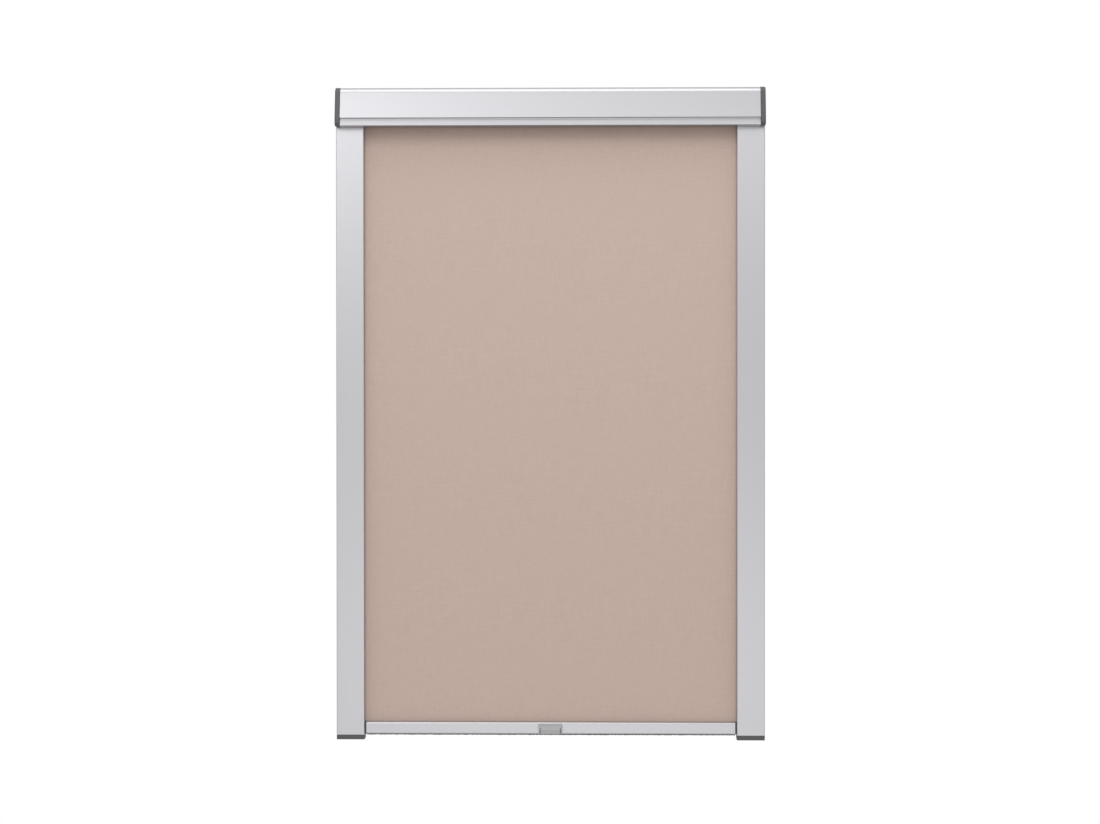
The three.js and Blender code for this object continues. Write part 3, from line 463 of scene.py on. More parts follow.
for side, way in SIDES:
    x = inwards(way)
    top, front = cassette_top + cap_overhang, -cover_depth - cap_overhang
    cap = drawn(f"{side}_end_cap", [
        (0, top, cap_back_radius),
        (face_y(top) - cap_proud, top, cap_nose_radius),
        (front, face_foot, cap_bend_radius),
        (front, cassette_foot, cap_foot_radius),
        (0, cassette_foot, cap_back_radius),
    ], x(0), x(cap_thickness), steps=12)
    bevelled(cap, lambda corner: abs(corner.x) > outer_face - seat_gap, cap_edge, 4)

    lug_start, lug_end = x(cap_thickness - 1), x(cap_thickness + lug_length)
    lug_back = -cassette_wall - seat_gap
    lug_span = cassette_top - 2 * port_outer - lug_margin
    slope_foot = step_inside + lug_margin
    slope_top = nose_port_z - port_outer - lug_margin
    worked(
        cap, "UNION",
        pin("boss", boss_radius, (roller_y, 0), lug_start, x(cap_thickness + boss_length), sides=64),
        block("back_lug", (lug_start, lug_back - lug_thickness, -lug_span), (lug_end, lug_back, lug_span)),
        block("top_lug",
              (lug_start, -joint_depth - tongue_length, tongue_foot - seat_gap - lug_thickness),
              (lug_end, -2 * port_outer - lug_margin, tongue_foot - seat_gap)),
        drawn("front_lug", [
            (face_y(slope_foot) + cassette_wall + seat_gap, slope_foot),
            (face_y(slope_top) + cassette_wall + seat_gap, slope_top),
            (face_y(slope_top) + cassette_wall + seat_gap + lug_thickness, slope_top),
            (face_y(slope_foot) + cassette_wall + seat_gap + lug_thickness, slope_foot),
        ], lug_start, lug_end))

    holes = []
    for port in ports:
        holes.append(pin("hole", port_inner + seat_gap, port, x(-1), x(cap_thickness + 1), sides=24))
        holes.append(pin("counterbore", head_radius + seat_gap, port, x(-1), x(screw_recess)))
    recess_end = bracket_high.z + seat_gap
    for end in (-1, 1):
        holes.append(block(
            "hook_slot",
            (x(1), bracket_y - tongue_half - seat_gap, end * recess_end),
            (x(outer_face - bracket_low.x + seat_gap), bracket_y + tongue_half + seat_gap,
             end * (recess_end - bracket_sheet - 2 * seat_gap))))
    if side == "left":
        deep, high = tang_socket_half
        socket = block("socket", (x(socket_depth), roller_y - deep, -high),
                       (x(socket_end), roller_y + deep, high))
    else:
        socket = pin("socket", bush_socket_radius, (roller_y, 0), x(socket_depth), x(socket_end))
    worked(
        cap, "DIFFERENCE", *holes, socket,
        block("recess", (x(-1), bracket_low.y - seat_gap, -recess_end),
              (x(bracket_sheet + seat_gap), bracket_high.y + seat_gap, recess_end)),
        block("pocket", (x(pocket_start), pocket_y - pocket_half, cassette_foot - 1),
              (x(pocket_end), pocket_y + pocket_half, connector_high.z + seat_gap)))
    eased(cap, 0.2)
    fitted(cap, dark_abs, "blind_frame", "dark_plastic", f"end_cap_{side}")

# Mounting brackets
# Pressed from 2 mm steel sheet and zinc-plated, one in the outer face of each end cap. Two screws go
# through it into the side of the sash, and the cap snaps over its two bent tongues.


def zinc_plated(name):
    """Zinc plating: bright grey metal, slightly blue, in soft patches where the bath ran off it."""
    patch_size, speck_size = 6, 0.5
    material, tree, surface, place = finish(name, Metallic=1)
    shaded(tree, surface, noise(tree, place, patch_size), colour("#AEB4BA"), colour("#C6C6C2"),
           gloss=(noise(tree, place, speck_size), 0.28, 0.42))
    return material


zinc = zinc_plated("zinc-plated steel")
bracket_hole = 2.1
hole_spread = 13
bracket_corner = 1.5

for side, way in SIDES:
    x = inwards(way)
    reach = outer_face - bracket_low.x
    plate = drawn(f"{side}_bracket", [
        (deep, high, bracket_corner) for deep, high in (
            (bracket_low.y, bracket_low.z), (bracket_high.y, bracket_low.z),
            (bracket_high.y, bracket_high.z), (bracket_low.y, bracket_high.z))
    ], x(0), x(bracket_sheet))
    worked(plate, "UNION", *(
        block("tongue", (x(bracket_sheet - 1), bracket_y - tongue_half, end * bracket_high.z),
              (x(reach), bracket_y + tongue_half, end * (bracket_high.z - bracket_sheet)))
        for end in (-1, 1)))
    worked(plate, "DIFFERENCE", *(
        pin("hole", bracket_hole, (bracket_y + end * tongue_half, end * hole_spread / 2),
            x(-1), x(bracket_sheet + 1))
        for end in (-1, 1)))
    eased(plate, 0.3, segments=3)
    fitted(plate, zinc, "blind_frame", "zinc_plated_steel", f"mounting_bracket_{side}")

# Cap screws
# Self-tapping, 2.9 mm, pan head with a cross recess, cold-headed from zinc-plated steel. Four hold
# each end cap to the ports of the two shells. One is made, and the others are its copies.

screw_length = 15
head_height = 1.9
shank_radius = 1.15
thread_radius = 1.42
thread_pitch = 1.3
thread_width = 0.55
thread_turns = 9
cross_width = 0.8
cross_length = 2.9
cross_depth = 0.9
tip_length = 2.4
crown_height = 0.45  # of the head's height
crown_flat = 0.62  # of its radius
thread_root = 0.15  # below the shank's surface
thread_start = 0.4  # from the head


def turned(name, profile, steps=32):
    """A profile of (distance, radius) points in millimetres that starts and ends on the X axis, spun."""
    piece = line(name, [MM * Vector((distance, 0, radius)) for distance, radius in profile])
    bpy.ops.mesh.spin(steps=steps, angle=2 * math.pi, center=(0, 0, 0), axis=(1, 0, 0))
    bpy.ops.mesh.select_all(action="SELECT")
    bpy.ops.mesh.remove_doubles(threshold=0.001 * MM)
    return closed(piece)


def helix(name, profile, start, pitch, turns, steps):
    """A closed profile of (distance, radius) points in millimetres, wound round the X axis."""
    piece = line(name, [MM * Vector((start + distance, 0, radius)) for distance, radius in profile])
    bpy.ops.mesh.edge_face_add()
    bpy.ops.mesh.delete(type="ONLY_FACE")
    bpy.ops.object.mode_set(mode="OBJECT")
    applied(piece, "SCREW", axis="X", screw_offset=pitch * MM, iterations=turns, steps=steps,
            render_steps=steps, use_merge_vertices=False)
    bpy.ops.object.mode_set(mode="EDIT")
    bpy.ops.mesh.select_all(action="SELECT")
    bpy.ops.mesh.fill_holes(sides=0)
    return closed(piece)


def copied(piece, name, place):
    """A copy of a piece with its own mesh, moved to its place."""
    twin = piece.copy()
    twin.data = piece.data.copy()
    twin.name = twin.data.name = name
    twin.data.transform(place)
    bpy.context.scene.collection.objects.link(twin)
    return twin


crown = [(crown_height * head_height * (1 - math.cos(turn)),
          head_radius * (crown_flat + (1 - crown_flat) * math.sin(turn)))
         for turn in (i * math.pi / 12 for i in range(7))]
screw = turned("screw", [
    (0, 0), *crown, (head_height, head_radius), (head_height, shank_radius),
    (screw_length - tip_length, shank_radius), (screw_length, 0),
])
worked(screw, "UNION", helix(
    "thread",
    [(0, shank_radius - thread_root), (thread_width / 2, thread_radius),
     (thread_width, shank_radius - thread_root)],
    head_height + thread_start, thread_pitch, thread_turns - 1, 16))
worked(screw, "DIFFERENCE", *(
    block("slot", (-1, -deep / 2, -high / 2), (cross_depth, deep / 2, high / 2))
    for deep, high in ((cross_length, cross_width), (cross_width, cross_length))))
eased(screw, 0.06, segments=1)

for side, way in SIDES:
    seat = way * (outer_face - screw_recess + head_height + seat_gap)
    for number, port in enumerate(ports, 1):
        turn = Matrix.Rotation(0.4 + 1.1 * number, 4, "X")
        if way > 0:
            turn = Matrix.Rotation(math.pi, 4, "Z") @ turn
        fixed = copied(screw, f"{side}_cap_screw_{number}",
                       Matrix.Translation(MM * Vector((seat, *port))) @ turn)
        fitted(fixed, zinc, "blind_frame", "zinc_plated_steel", f"cap_screw_{side}_{number}")
bpy.data.objects.remove(screw)

# Side rails
# Aluminium extrusions, anodised like the cassette and screwed to the sides of the sash through holes
# drilled in three places. Each has a closed chamber, and a channel that the fabric's edge runs in.

rail_wall = 1.4
rail_radius = 1.2
rail_inner_radius = 1.5
rail_edge = 0.3
chamber_end = 14.6
channel_start = 16
channel_end = 38.6
rail_face = 40
fabric_y = -9
mouth_half = 3.2
rail_screw = 2
rail_driver = 4.3
rail_screw_inset = 60

rail_low, rail_high = span("side_rail_right")
rail_front = rail_low.y
anodised_along = anodised("anodised aluminium, drawn along", "Z")


def chamber(name, x, gap, start, end):
    """The chamber of the rail at x from start to end, or what fits in it with a gap."""
    return drawn(name, [(x(inset), *rest) for inset, *rest in (
        (rail_wall + gap, -rail_wall - gap),
        (chamber_end - gap, -rail_wall - gap),
        (chamber_end - gap, rail_front + rail_wall + gap),
        (rail_wall + gap, rail_front + rail_wall + gap, max(rail_radius - rail_wall - gap, 0.2)),
    )], start, end, "Z")


for side, way in SIDES:
    x = inwards(way)
    rail = drawn(f"{side}_rail", [
        (x(0), 0, rail_edge),
        (x(rail_face), 0, rail_edge),
        (x(rail_face), fabric_y + mouth_half, rail_edge),
        (x(channel_end), fabric_y + mouth_half),
        (x(channel_end), -rail_wall),
        (x(channel_start), -rail_wall),
        (x(channel_start), rail_front + rail_wall),
        (x(channel_end), rail_front + rail_wall),
        (x(channel_end), fabric_y - mouth_half),
        (x(rail_face), fabric_y - mouth_half, rail_edge),
        (x(rail_face), rail_front, rail_inner_radius),
        (x(0), rail_front, rail_radius),
    ], rail_low.z, rail_high.z, "Z")
    tools = [chamber("chamber", x, 0, rail_low.z - 1, rail_high.z + 1)]
    rail_middle = (rail_low.z + rail_high.z) / 2
    for z in (rail_low.z + rail_screw_inset, rail_middle, rail_high.z - rail_screw_inset):
        tools.append(pin("screw_hole", rail_screw, (fabric_y, z), x(-1), x(3), sides=32))
        tools.append(
            pin("driver_hole", rail_driver, (fabric_y, z), x(chamber_end - 1), x(channel_start + 1)))
    worked(rail, "DIFFERENCE", *tools)
    eased(rail, 0.15)
    fitted(rail, anodised_along, "blind_frame", "anodised_aluminium", f"side_rail_{side}")

# Rail connectors
# A moulded plug in the top of each rail's chamber, with a flat tongue that the end cap slips over.

connector_wall = 2.2
tongue_start, tongue_end = 2.1, 5.5

for side, way in SIDES:
    x = inwards(way)
    plug = chamber(f"{side}_rail_connector", x, seat_gap, connector_low.z, rail_high.z)
    worked(plug, "UNION", block(
        "tongue", (x(tongue_start), pocket_y - tongue_half, rail_high.z - 1),
        (x(tongue_end), pocket_y + tongue_half, connector_high.z)))
    worked(plug, "DIFFERENCE", chamber(
        "hollow", x, seat_gap + connector_wall, connector_low.z - 1, rail_high.z - connector_wall))
    eased(plug, 0.3)
    fitted(plug, dark_abs, "blind_frame", "dark_plastic", f"rail_connector_{side}")

# Rail feet
# Moulded in the dark ABS of the end caps. A foot closes the rail's lower end with a plate as large as
# its section, holds on with a spigot in the chamber, and stops the bar's guide in the channel.

foot_spigot = 18
foot_stop = 3
foot_edge = 0.6
foot_corner = 1

for side, way in SIDES:
    x = inwards(way)
    foot_low = span(f"rail_foot_{side}")[0].z
    plate_top = rail_low.z - seat_gap
    foot = drawn(f"{side}_rail_foot", [
        (x(0), 0, foot_corner),
        (x(rail_face), 0, foot_corner),
        (x(rail_face), rail_front, rail_inner_radius),
        (x(0), rail_front, rail_radius),
    ], foot_low, plate_top, "Z")
    bevelled(foot, lambda corner: corner.z < foot_low + seat_gap, foot_edge, 3)
    worked(
        foot, "UNION",
        chamber("spigot", x, seat_gap, plate_top - 1, rail_low.z + foot_spigot),
        block("stop", (x(channel_start + seat_gap), rail_front + rail_wall + seat_gap, plate_top - 1),
              (x(channel_end - seat_gap), -rail_wall - seat_gap, rail_low.z + foot_stop)))
    eased(foot, 0.15)
    fitted(foot, dark_abs, "blind_frame", "dark_plastic", f"rail_foot_{side}")

# Roller tube
# Drawn aluminium tube as it leaves the mill, 20 mm across, with a groove along it. It is what the
# fabric winds on.

tube_radius = 10
tube_wall = 1
groove_half = 1.5
groove_depth = 1.8


def about_roller(points):
    """Points of a section round the roller's axis, in their place."""
    return [(roller_y + a, b) for a, b in points]


def notched(radius, half, floor, sides=64):
    """A circle with a square notch in its top."""
    edge = math.asin(half / radius)
    turns = [math.pi / 2 + edge + 2 * (math.pi - edge) * i / sides for i in range(sides + 1)]
    round_part = [(radius * math.cos(turn), radius * math.sin(turn)) for turn in turns]
    return about_roller(round_part + [(half, floor), (-half, floor)])


material, tree, surface, place = finish("aluminium tube, mill finish", Metallic=1)
drag_length, drag_width = 60, 0.4
marks = streaks(tree, place, "X", drag_length, drag_width, detail=3)
shaded(tree, surface, marks, colour("#B4B4B6"), colour("#CACACB"), gloss=(marks, 0.22, 0.42))
mill_aluminium = material

tube_low, tube_high = span("roller_tube")
groove_floor = tube_radius - groove_depth
inner_radius = tube_radius - tube_wall
tube = drawn("tube", notched(tube_radius, groove_half, groove_floor), tube_low.x, tube_high.x)
worked(tube, "DIFFERENCE", drawn(
    "bore", notched(inner_radius, groove_half + tube_wall, groove_floor - tube_wall),
    tube_low.x - 1, tube_high.x + 1))
eased(tube, 0.15)
fitted(tube, mill_aluminium, "roller", "mill_aluminium", "roller_tube")

# Plugs of the roller, with the idle pin and its bush
# Natural nylon, moulded. The plugs close the tube's ends, and are keyed to the back of its groove. The
# left one turns on the spring's shaft. The right one carries a steel pin that turns in a bush.

natural_nylon = moulded("moulded nylon, natural", "#E4E1D9", 0.42, 0.5)
rim_radius = 9.6
tube_rim = 1.5
turn_gap = 0.4
shaft_radius = 2.5
pin_radius = 3
bush_radius = 5
plug_outline = notched(
    inner_radius - seat_gap, groove_half + tube_wall + seat_gap, groove_floor - tube_wall - seat_gap)

for name, node_name, way, bore in (
        ("bearing_plug", "shaft_bearing_plug", -1, shaft_radius + turn_gap),
        ("idle_end_plug", "idle_plug", 1, pin_radius + seat_gap)):
    low, high = span(node_name)
    near, far = (low.x, high.x) if way < 0 else (high.x, low.x)
    plug = drawn(name, plug_outline, near - way * tube_rim, far)
    worked(plug, "UNION",
           pin("rim", rim_radius, (roller_y, 0), near, near - way * tube_rim, sides=64))
    worked(plug, "DIFFERENCE", pin("bore", bore, (roller_y, 0), near + way, far - way))
    eased(plug, 0.25)
    fitted(plug, natural_nylon, "roller", "white_plastic", node_name)

low, high = span("idle_bush")
bush = pin("bush", bush_radius, (roller_y, 0), low.x, high.x)
worked(bush, "DIFFERENCE", pin("bore", pin_radius + turn_gap, (roller_y, 0), low.x - 1, high.x + 1))
eased(bush, 0.3)
fitted(bush, natural_nylon, "blind_frame", "white_plastic", "idle_bush")

low, high = span("idle_pin")
axle = pin("axle", pin_radius, (roller_y, 0), low.x, high.x)
eased(axle, 0.5)
fitted(axle, zinc, "roller", "zinc_plated_steel", "idle_pin")

# Spring motor
# A steel shaft, held against turning by a flat tang in the left end cap, carries a moulded anchor. A
# torsion spring of 1.1 mm wire runs from the anchor to a driver that is keyed to the tube, and a clip
# in the shaft's groove keeps the driver on. Drawing the fabric down winds the spring.

wire_radius = 0.55
spring_radius = 5.6
spring_turns = 26
nose_length = 12
nose_core = spring_radius - wire_radius - turn_gap
tang_half = 1.5
flat_reach = shaft_radius + 0.5
anchor_radius = 6.2
clip_radius = 5
clip_groove = 0.6
mouth_share = 0.8  # of the clip's bore

material, tree, surface, place = finish("spring steel, drawn and oil-tempered", Metallic=1)
film_size = 1.5
film = noise(tree, place, film_size)
shaded(tree, surface, film, colour("#7C7E81"), colour("#989A9D"), gloss=(film, 0.3, 0.45))
spring_steel = material

driver_low, driver_high = span("spring_driver_plug")
driver_start = driver_low.x + nose_length
driver = drawn("driver", plug_outline, driver_start, driver_high.x)
worked(driver, "UNION", pin("nose", nose_core, (roller_y, 0), driver_low.x, driver_start + 1))
worked(driver, "DIFFERENCE", pin(
    "bore", shaft_radius + turn_gap, (roller_y, 0), driver_low.x - 1, driver_high.x + 1))
eased(driver, 0.25)
fitted(driver, natural_nylon, "roller", "white_plastic", "spring_driver_plug")

anchor_low, anchor_high = span("spring_anchor")
anchor = pin("anchor", anchor_radius, (roller_y, 0), anchor_low.x, anchor_high.x - nose_length)
worked(anchor, "UNION", pin("nose", nose_core, (roller_y, 0), anchor_low.x + 1, anchor_high.x))
worked(anchor, "DIFFERENCE", pin(
    "bore", shaft_radius + seat_gap, (roller_y, 0), anchor_low.x - 1, anchor_high.x + 1))
eased(anchor, 0.25)
fitted(anchor, natural_nylon, "blind_frame", "white_plastic", "spring_anchor")

clip_low, clip_high = span("shaft_retaining_clip")
clip = pin("clip", clip_radius, (roller_y, 0), clip_low.x, clip_high.x)
clip_bore = shaft_radius - clip_groove + seat_gap
clip_mouth = mouth_share * clip_bore
worked(clip, "DIFFERENCE",
       pin("bore", clip_bore, (roller_y, 0), clip_low.x - 1, clip_high.x + 1),
       block("mouth", (clip_low.x - 1, roller_y - clip_mouth, -clip_radius - 1),
             (clip_high.x + 1, roller_y + clip_mouth, 0)))
eased(clip, 0.15)
fitted(clip, spring_steel, "blind_frame", "spring_steel", "shaft_retaining_clip")

shaft_low, shaft_high = span("spring_shaft")
tang_end = -outer_face + cap_thickness + boss_length + seat_gap
shaft = pin("shaft", shaft_radius, (roller_y, 0), shaft_low.x, shaft_high.x)
ring = pin("ring", shaft_radius + 1, (roller_y, 0), clip_low.x - seat_gap, clip_high.x + seat_gap)
worked(ring, "DIFFERENCE", pin(
    "core", shaft_radius - clip_groove, (roller_y, 0), clip_low.x - 1, clip_high.x + 1))
worked(shaft, "DIFFERENCE", ring, *(
    block("flat", (shaft_low.x - 1, roller_y - flat_reach, end * tang_half),
          (tang_end, roller_y + flat_reach, end * flat_reach))
    for end in (-1, 1)))
eased(shaft, 0.2)
fitted(shaft, zinc, "blind_frame", "zinc_plated_steel", "spring_shaft")

spring_low, spring_high = span("torsion_spring")
wire = [(wire_radius * math.cos(turn), spring_radius + wire_radius * math.sin(turn))
        for turn in (i * math.pi / 6 for i in range(12))]
spring = helix("spring", wire, spring_low.x + wire_radius,
               (spring_high.x - spring_low.x - 2 * wire_radius) / spring_turns, spring_turns, 24)
spring.data.transform(Matrix.Translation((0, roller_y * MM, 0)))
smoothed()
fitted(spring, spring_steel, "blind_frame", "spring_steel", "torsion_spring")

# Blackout fabric
# Polyester woven plain and dyed beige, with a pale acrylic foam on its back that stops the light, cut
# ultrasonically so that it doesn't fray. It hangs from the back of the roll to the hem in the bar.
# The roll takes it up as the bar rises, and what is left below the roller shortens.

cloth_thickness = 0.32
ripple = 0.12  # of the roll's pull, in millimetres
ripple_length = 170


def woven(name):
    """Plain-woven polyester: warp over weft, a matt face, and now and then a thicker thread.

    The threads lie 0.3 mm apart. They are drawn 0.6 mm apart, so that the weave shows close by.
    """
    thread, slub_length = 0.6, 14
    material, tree, surface, place = finish(name, Roughness=0.85)
    surface.inputs["Specular IOR Level"].default_value = 0.25
    surface.inputs["Sheen Weight"].default_value = 0.08
    axes = node(tree, "SeparateXYZ", {"Vector": place}).outputs
    threads = []
    for axis in "XZ":
        turns = node(tree, "Math", {0: axes[axis], 1: math.pi / (thread * MM)}, operation="MULTIPLY")
        threads.append(node(tree, "Math", {0: turns.outputs[0]}, operation="SINE").outputs[0])
    weave = node(tree, "Math", {0: threads[0], 1: threads[1]}, operation="MULTIPLY").outputs[0]
    slubs = [streaks(tree, place, run, slub_length, thread, detail=1) for run in "XZ"]
    slub = node(tree, "Math", {0: slubs[0], 1: slubs[1]}, operation="ADD").outputs[0]
    tone = node(tree, "MapRange", {"Value": slub, "From Min": 0.6, "From Max": 1.4})
    height = node(tree, "Math", {0: weave, 1: slub}, operation="ADD").outputs[0]
    shaded(tree, surface, tone.outputs["Result"], colour("#B6A197"), colour("#C1ACA1"),
           relief=(height, 0.3, 0.04))
    return material


material, tree, surface, place = finish("acrylic foam coating", Roughness=0.7)
skin_size = 0.8
skin = noise(tree, place, skin_size, detail=3)
shaded(tree, surface, skin, colour("#D9D7D1"), colour("#E1DFD9"), relief=(skin, 0.2, 0.03))
foam = material
polyester = woven("polyester, plain weave, dyed beige")

cloth_low, cloth_high = span("blackout_fabric")
cloth_width = cloth_high.x - cloth_low.x
cloth_drop = cloth_high.z - cloth_low.z

bpy.ops.object.select_all(action="DESELECT")
bpy.ops.mesh.primitive_grid_add(
    x_subdivisions=28, y_subdivisions=56, size=1, calc_uvs=False,
    location=(0, fabric_y * MM, (cloth_low.z + cloth_high.z) / 2 * MM), rotation=(math.pi / 2, 0, 0))
panel = placed("fabric_panel", (cloth_width * MM, cloth_drop * MM, 1))
for corner in panel.data.vertices:
    down = 2 * math.pi * corner.co.z / (ripple_length * MM)
    across = 2 * math.pi * corner.co.x / (3 * ripple_length * MM)
    corner.co.y += ripple * MM * math.sin(down + 0.8 * math.sin(across))
panel.data.materials.append(polyester)
panel.data.materials.append(foam)
applied(panel, "SOLIDIFY", thickness=cloth_thickness * MM, offset=0,
        material_offset=1, material_offset_rim=0)
smoothed()
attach(panel, "blind_frame")
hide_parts("blackout_fabric")
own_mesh(panel)

# Fabric on the roller
# The two and a quarter turns that stay wound when the blind is shut. They come up from the panel at
# the back, go over the top and end in the tube's groove, under a strip of nylon.

wound_turns = 2.25
wound_pitch = 0.62
turn_sides = 72

wound_outer = tube_radius + seat_gap + cloth_thickness / 2 + wound_turns * wound_pitch
outside, inside = [], []
for i in range(round(wound_turns * turn_sides) + 1):
    turn = 2 * math.pi * i / turn_sides
    middle = wound_outer - wound_pitch * i / turn_sides
    for points, radius in ((outside, middle + cloth_thickness / 2), (inside, middle - cloth_thickness / 2)):
        points.append((radius * math.cos(turn), radius * math.sin(turn)))
wound = drawn("wound_fabric", about_roller(outside + inside[::-1]), cloth_low.x, cloth_high.x)
smoothed()
fitted(wound, polyester, "roller", "blackout_cloth", "fabric_wrap")

strip_low, strip_high = span("fabric_clamp_strip")
strip = block("clamp_strip", strip_low, strip_high)
eased(strip, 0.3)
fitted(strip, natural_nylon, "roller", "white_plastic", "fabric_clamp_strip")

# Pull bar
# The fabric's lower end: an anodised extrusion with a bore for the hem, a hollow that the guides plug
# into, a groove for the brush below, and two drilled holes for the handle's studs.

bar_low, bar_high = span("pull_bar")
bar_foot, bar_top = bar_low.z, bar_high.z
bar_front, bar_back = bar_low.y, bar_high.y
bar_middle = (bar_front + bar_back) / 2
bar_wall = 1.3
crest_radius = 3
bar_radius = 2
hem_drop = 4.6
hem_z = bar_top - hem_drop
rod_radius = 1.7
hem_bore = rod_radius + cloth_thickness + 2 * seat_gap
slot_half = 1
slot_lead = 1.2  # the top falls from its crest to the slot
crest_rise = 0.88  # of the unrounded corner, which puts the crest at the bar's height
groove_rise = 2.3
root_half = 1.6
stud_radius = 1.6
stud_x = 8

slot_turn = math.asin(slot_half / hem_bore)
bore_turns = [math.pi / 2 - slot_turn - 2 * (math.pi - slot_turn) * i / 32 for i in range(33)]


def bar_hollow(name, gap, start, end):
    """The hollow of the bar from start to end, or what fits in it with a gap."""
    floor = bar_foot + groove_rise + bar_wall + gap
    shelf = hem_z - hem_bore - bar_wall - gap
    wall = fabric_y - hem_bore - bar_wall - gap
    return drawn(name, [
        (bar_front + bar_wall + gap, floor),
        (bar_back - bar_wall - gap, floor),
        (bar_back - bar_wall - gap, shelf),
        (wall, shelf),
        (wall, bar_top - bar_wall - gap),
        (bar_front + bar_wall + gap, bar_top - bar_wall - gap),
    ], start, end)


bar = drawn("bar", [
    (bar_back, bar_top, bar_radius),
    (fabric_y + slot_half, bar_top),
    *((fabric_y + hem_bore * math.cos(turn), hem_z + hem_bore * math.sin(turn)) for turn in bore_turns),
    (fabric_y - slot_half, bar_top - slot_lead),
    (bar_front, bar_top + crest_rise, crest_radius),
    (bar_front, bar_foot, bar_radius),
    (bar_middle - root_half, bar_foot),
    (bar_middle - root_half, bar_foot + groove_rise),
    (bar_middle + root_half, bar_foot + groove_rise),
    (bar_middle + root_half, bar_foot),
    (bar_back, bar_foot, bar_radius),
], bar_low.x, bar_high.x, steps=10)
stud_z = (bar_foot + bar_top) / 2
worked(bar, "DIFFERENCE", bar_hollow("hollow", 0, bar_low.x - 1, bar_high.x + 1), *(
    pin("stud_hole", stud_radius + seat_gap, (end * stud_x, stud_z),
        bar_front - 1, bar_front + bar_wall + 0.5, along="Y")
    for end in (-1, 1)))
eased(bar, 0.15)
fitted(bar, anodised_across, "bar", "anodised_aluminium", "pull_bar")

# Hem of the fabric, and its rod
# The cloth comes down the bar's slot, goes round a nylon rod and is welded to itself, so that it can't
# pull out of the bore.

rod = pin("hem_core", rod_radius, (fabric_y, hem_z), bar_low.x, bar_high.x, sides=32)
eased(rod, 0.3)
fitted(rod, natural_nylon, "bar", "white_plastic", "hem_rod")

loop_inner = rod_radius + seat_gap
loop_outer = loop_inner + cloth_thickness
seam = 0.02
hem_top = bar_top - seat_gap


def loop(radius, half):
    """A circle round the rod's centre, clockwise from one side of the neck to the other."""
    edge = math.asin(half / radius)
    turns = [math.pi / 2 - edge - 2 * (math.pi - edge) * i / 40 for i in range(41)]
    return [(fabric_y + radius * math.cos(turn), hem_z + radius * math.sin(turn)) for turn in turns]


hem = drawn("hem_cloth", [
    (fabric_y + cloth_thickness, hem_top),
    *loop(loop_outer, cloth_thickness),
    (fabric_y - cloth_thickness, hem_top),
    (fabric_y - seam, hem_top),
    *reversed(loop(loop_inner, seam)),
    (fabric_y + seam, hem_top),
], bar_low.x, bar_high.x)
smoothed()
fitted(hem, polyester, "bar", "blackout_cloth", "fabric_hem")

# Brush seal
# Dark polypropylene pile on a woven backing, pushed into the groove under the bar, where it closes the
# gap to the window. Its fibres stand unevenly.

seal_low, seal_high = span("bar_light_seal")
backing = 0.7
root_width = 1.3
tuft_pitch = 1.6
tuft_spread = 0.25
backing_margin = 0.2
backing_lap = 0.1

material, tree, surface, place = finish("polypropylene pile, dark grey", Roughness=0.95)
fibre_width, fibre_length = 0.25, 3
fibre = streaks(tree, place, "Z", fibre_length, fibre_width)
shaded(tree, surface, fibre, colour("#2E2E30"), colour("#58585A"), relief=(fibre, 0.6, 0.2))
pile = material

rows = round((seal_high.x - seal_low.x) / tuft_pitch)
brush_top = bar_foot - seat_gap
bpy.ops.object.select_all(action="DESELECT")
bpy.ops.mesh.primitive_grid_add(
    x_subdivisions=rows, y_subdivisions=3, size=1, calc_uvs=False,
    location=(0, bar_middle * MM, (brush_top - backing) * MM))
brush = placed("seal_brush", ((seal_high.x - seal_low.x) * MM, (seal_high.y - seal_low.y) * MM, 1))
bpy.ops.object.mode_set(mode="EDIT")
bpy.ops.mesh.select_all(action="SELECT")
bpy.ops.mesh.extrude_region_move(
    TRANSFORM_OT_translate={"value": (0, 0, (seal_low.z + tuft_spread - brush_top + backing) * MM)})
closed(brush)
random.seed(7)
for corner in brush.data.vertices:
    if corner.co.z < (seal_low.z + backing) * MM:
        corner.co.z += random.uniform(-tuft_spread, tuft_spread) * MM
        corner.co.y += random.uniform(-tuft_spread, 0) * math.copysign(MM, corner.co.y - bar_middle * MM)
worked(brush, "UNION",
       block("backing", (seal_low.x, seal_low.y + backing_margin, brush_top - backing - backing_lap),
             (seal_high.x, seal_high.y - backing_margin, brush_top)),
       block("root", (seal_low.x, bar_middle - root_width, brush_top - backing_lap),
             (seal_high.x, bar_middle + root_width, seal_high.z)))
smoothed(30)
fitted(brush, pile, "bar", "seal_pile", "bar_light_seal")

# Bar guides, with their brakes
# Moulded in dark ABS. A guide's spigot plugs into the end of the bar, its neck reaches through the
# rail's mouth, and its block slides in the channel. A bowed leaf of spring steel in the block presses
# a felt pad against the rail, and its friction holds the bar wherever it is let go.

guide_rise = 23  # of the block's top, above the bar's underside
guide_floor = 2.7
guide_near, guide_far = 16.7, 38.2
neck_half = 2.8
neck_floor = 3.3
neck_height = 10
neck_lap = 0.9  # into the block
flange = 1.3
spigot_length = 14
fabric_slot_half = 1.1
recess_half = 5
recess_depth = 7
recess_rise = 14
leaf_thickness = 0.4

material, tree, surface, place = finish("pressed wool felt, grey", Roughness=1)
wool_size = 0.4
wool = noise(tree, place, wool_size, detail=4)
shaded(tree, surface, wool, colour("#62625F"), colour("#7C7B77"), relief=(wool, 0.7, 0.15))
felt = material

channel_front = rail_front + rail_wall + turn_gap
channel_back = -rail_wall - turn_gap
channel_middle = (channel_front + channel_back) / 2
pad_low, pad_high = span("brake_pad_right")
leaf_low, leaf_high = span("brake_leaf_right")
recess_middle = (pad_low.z + pad_high.z) / 2

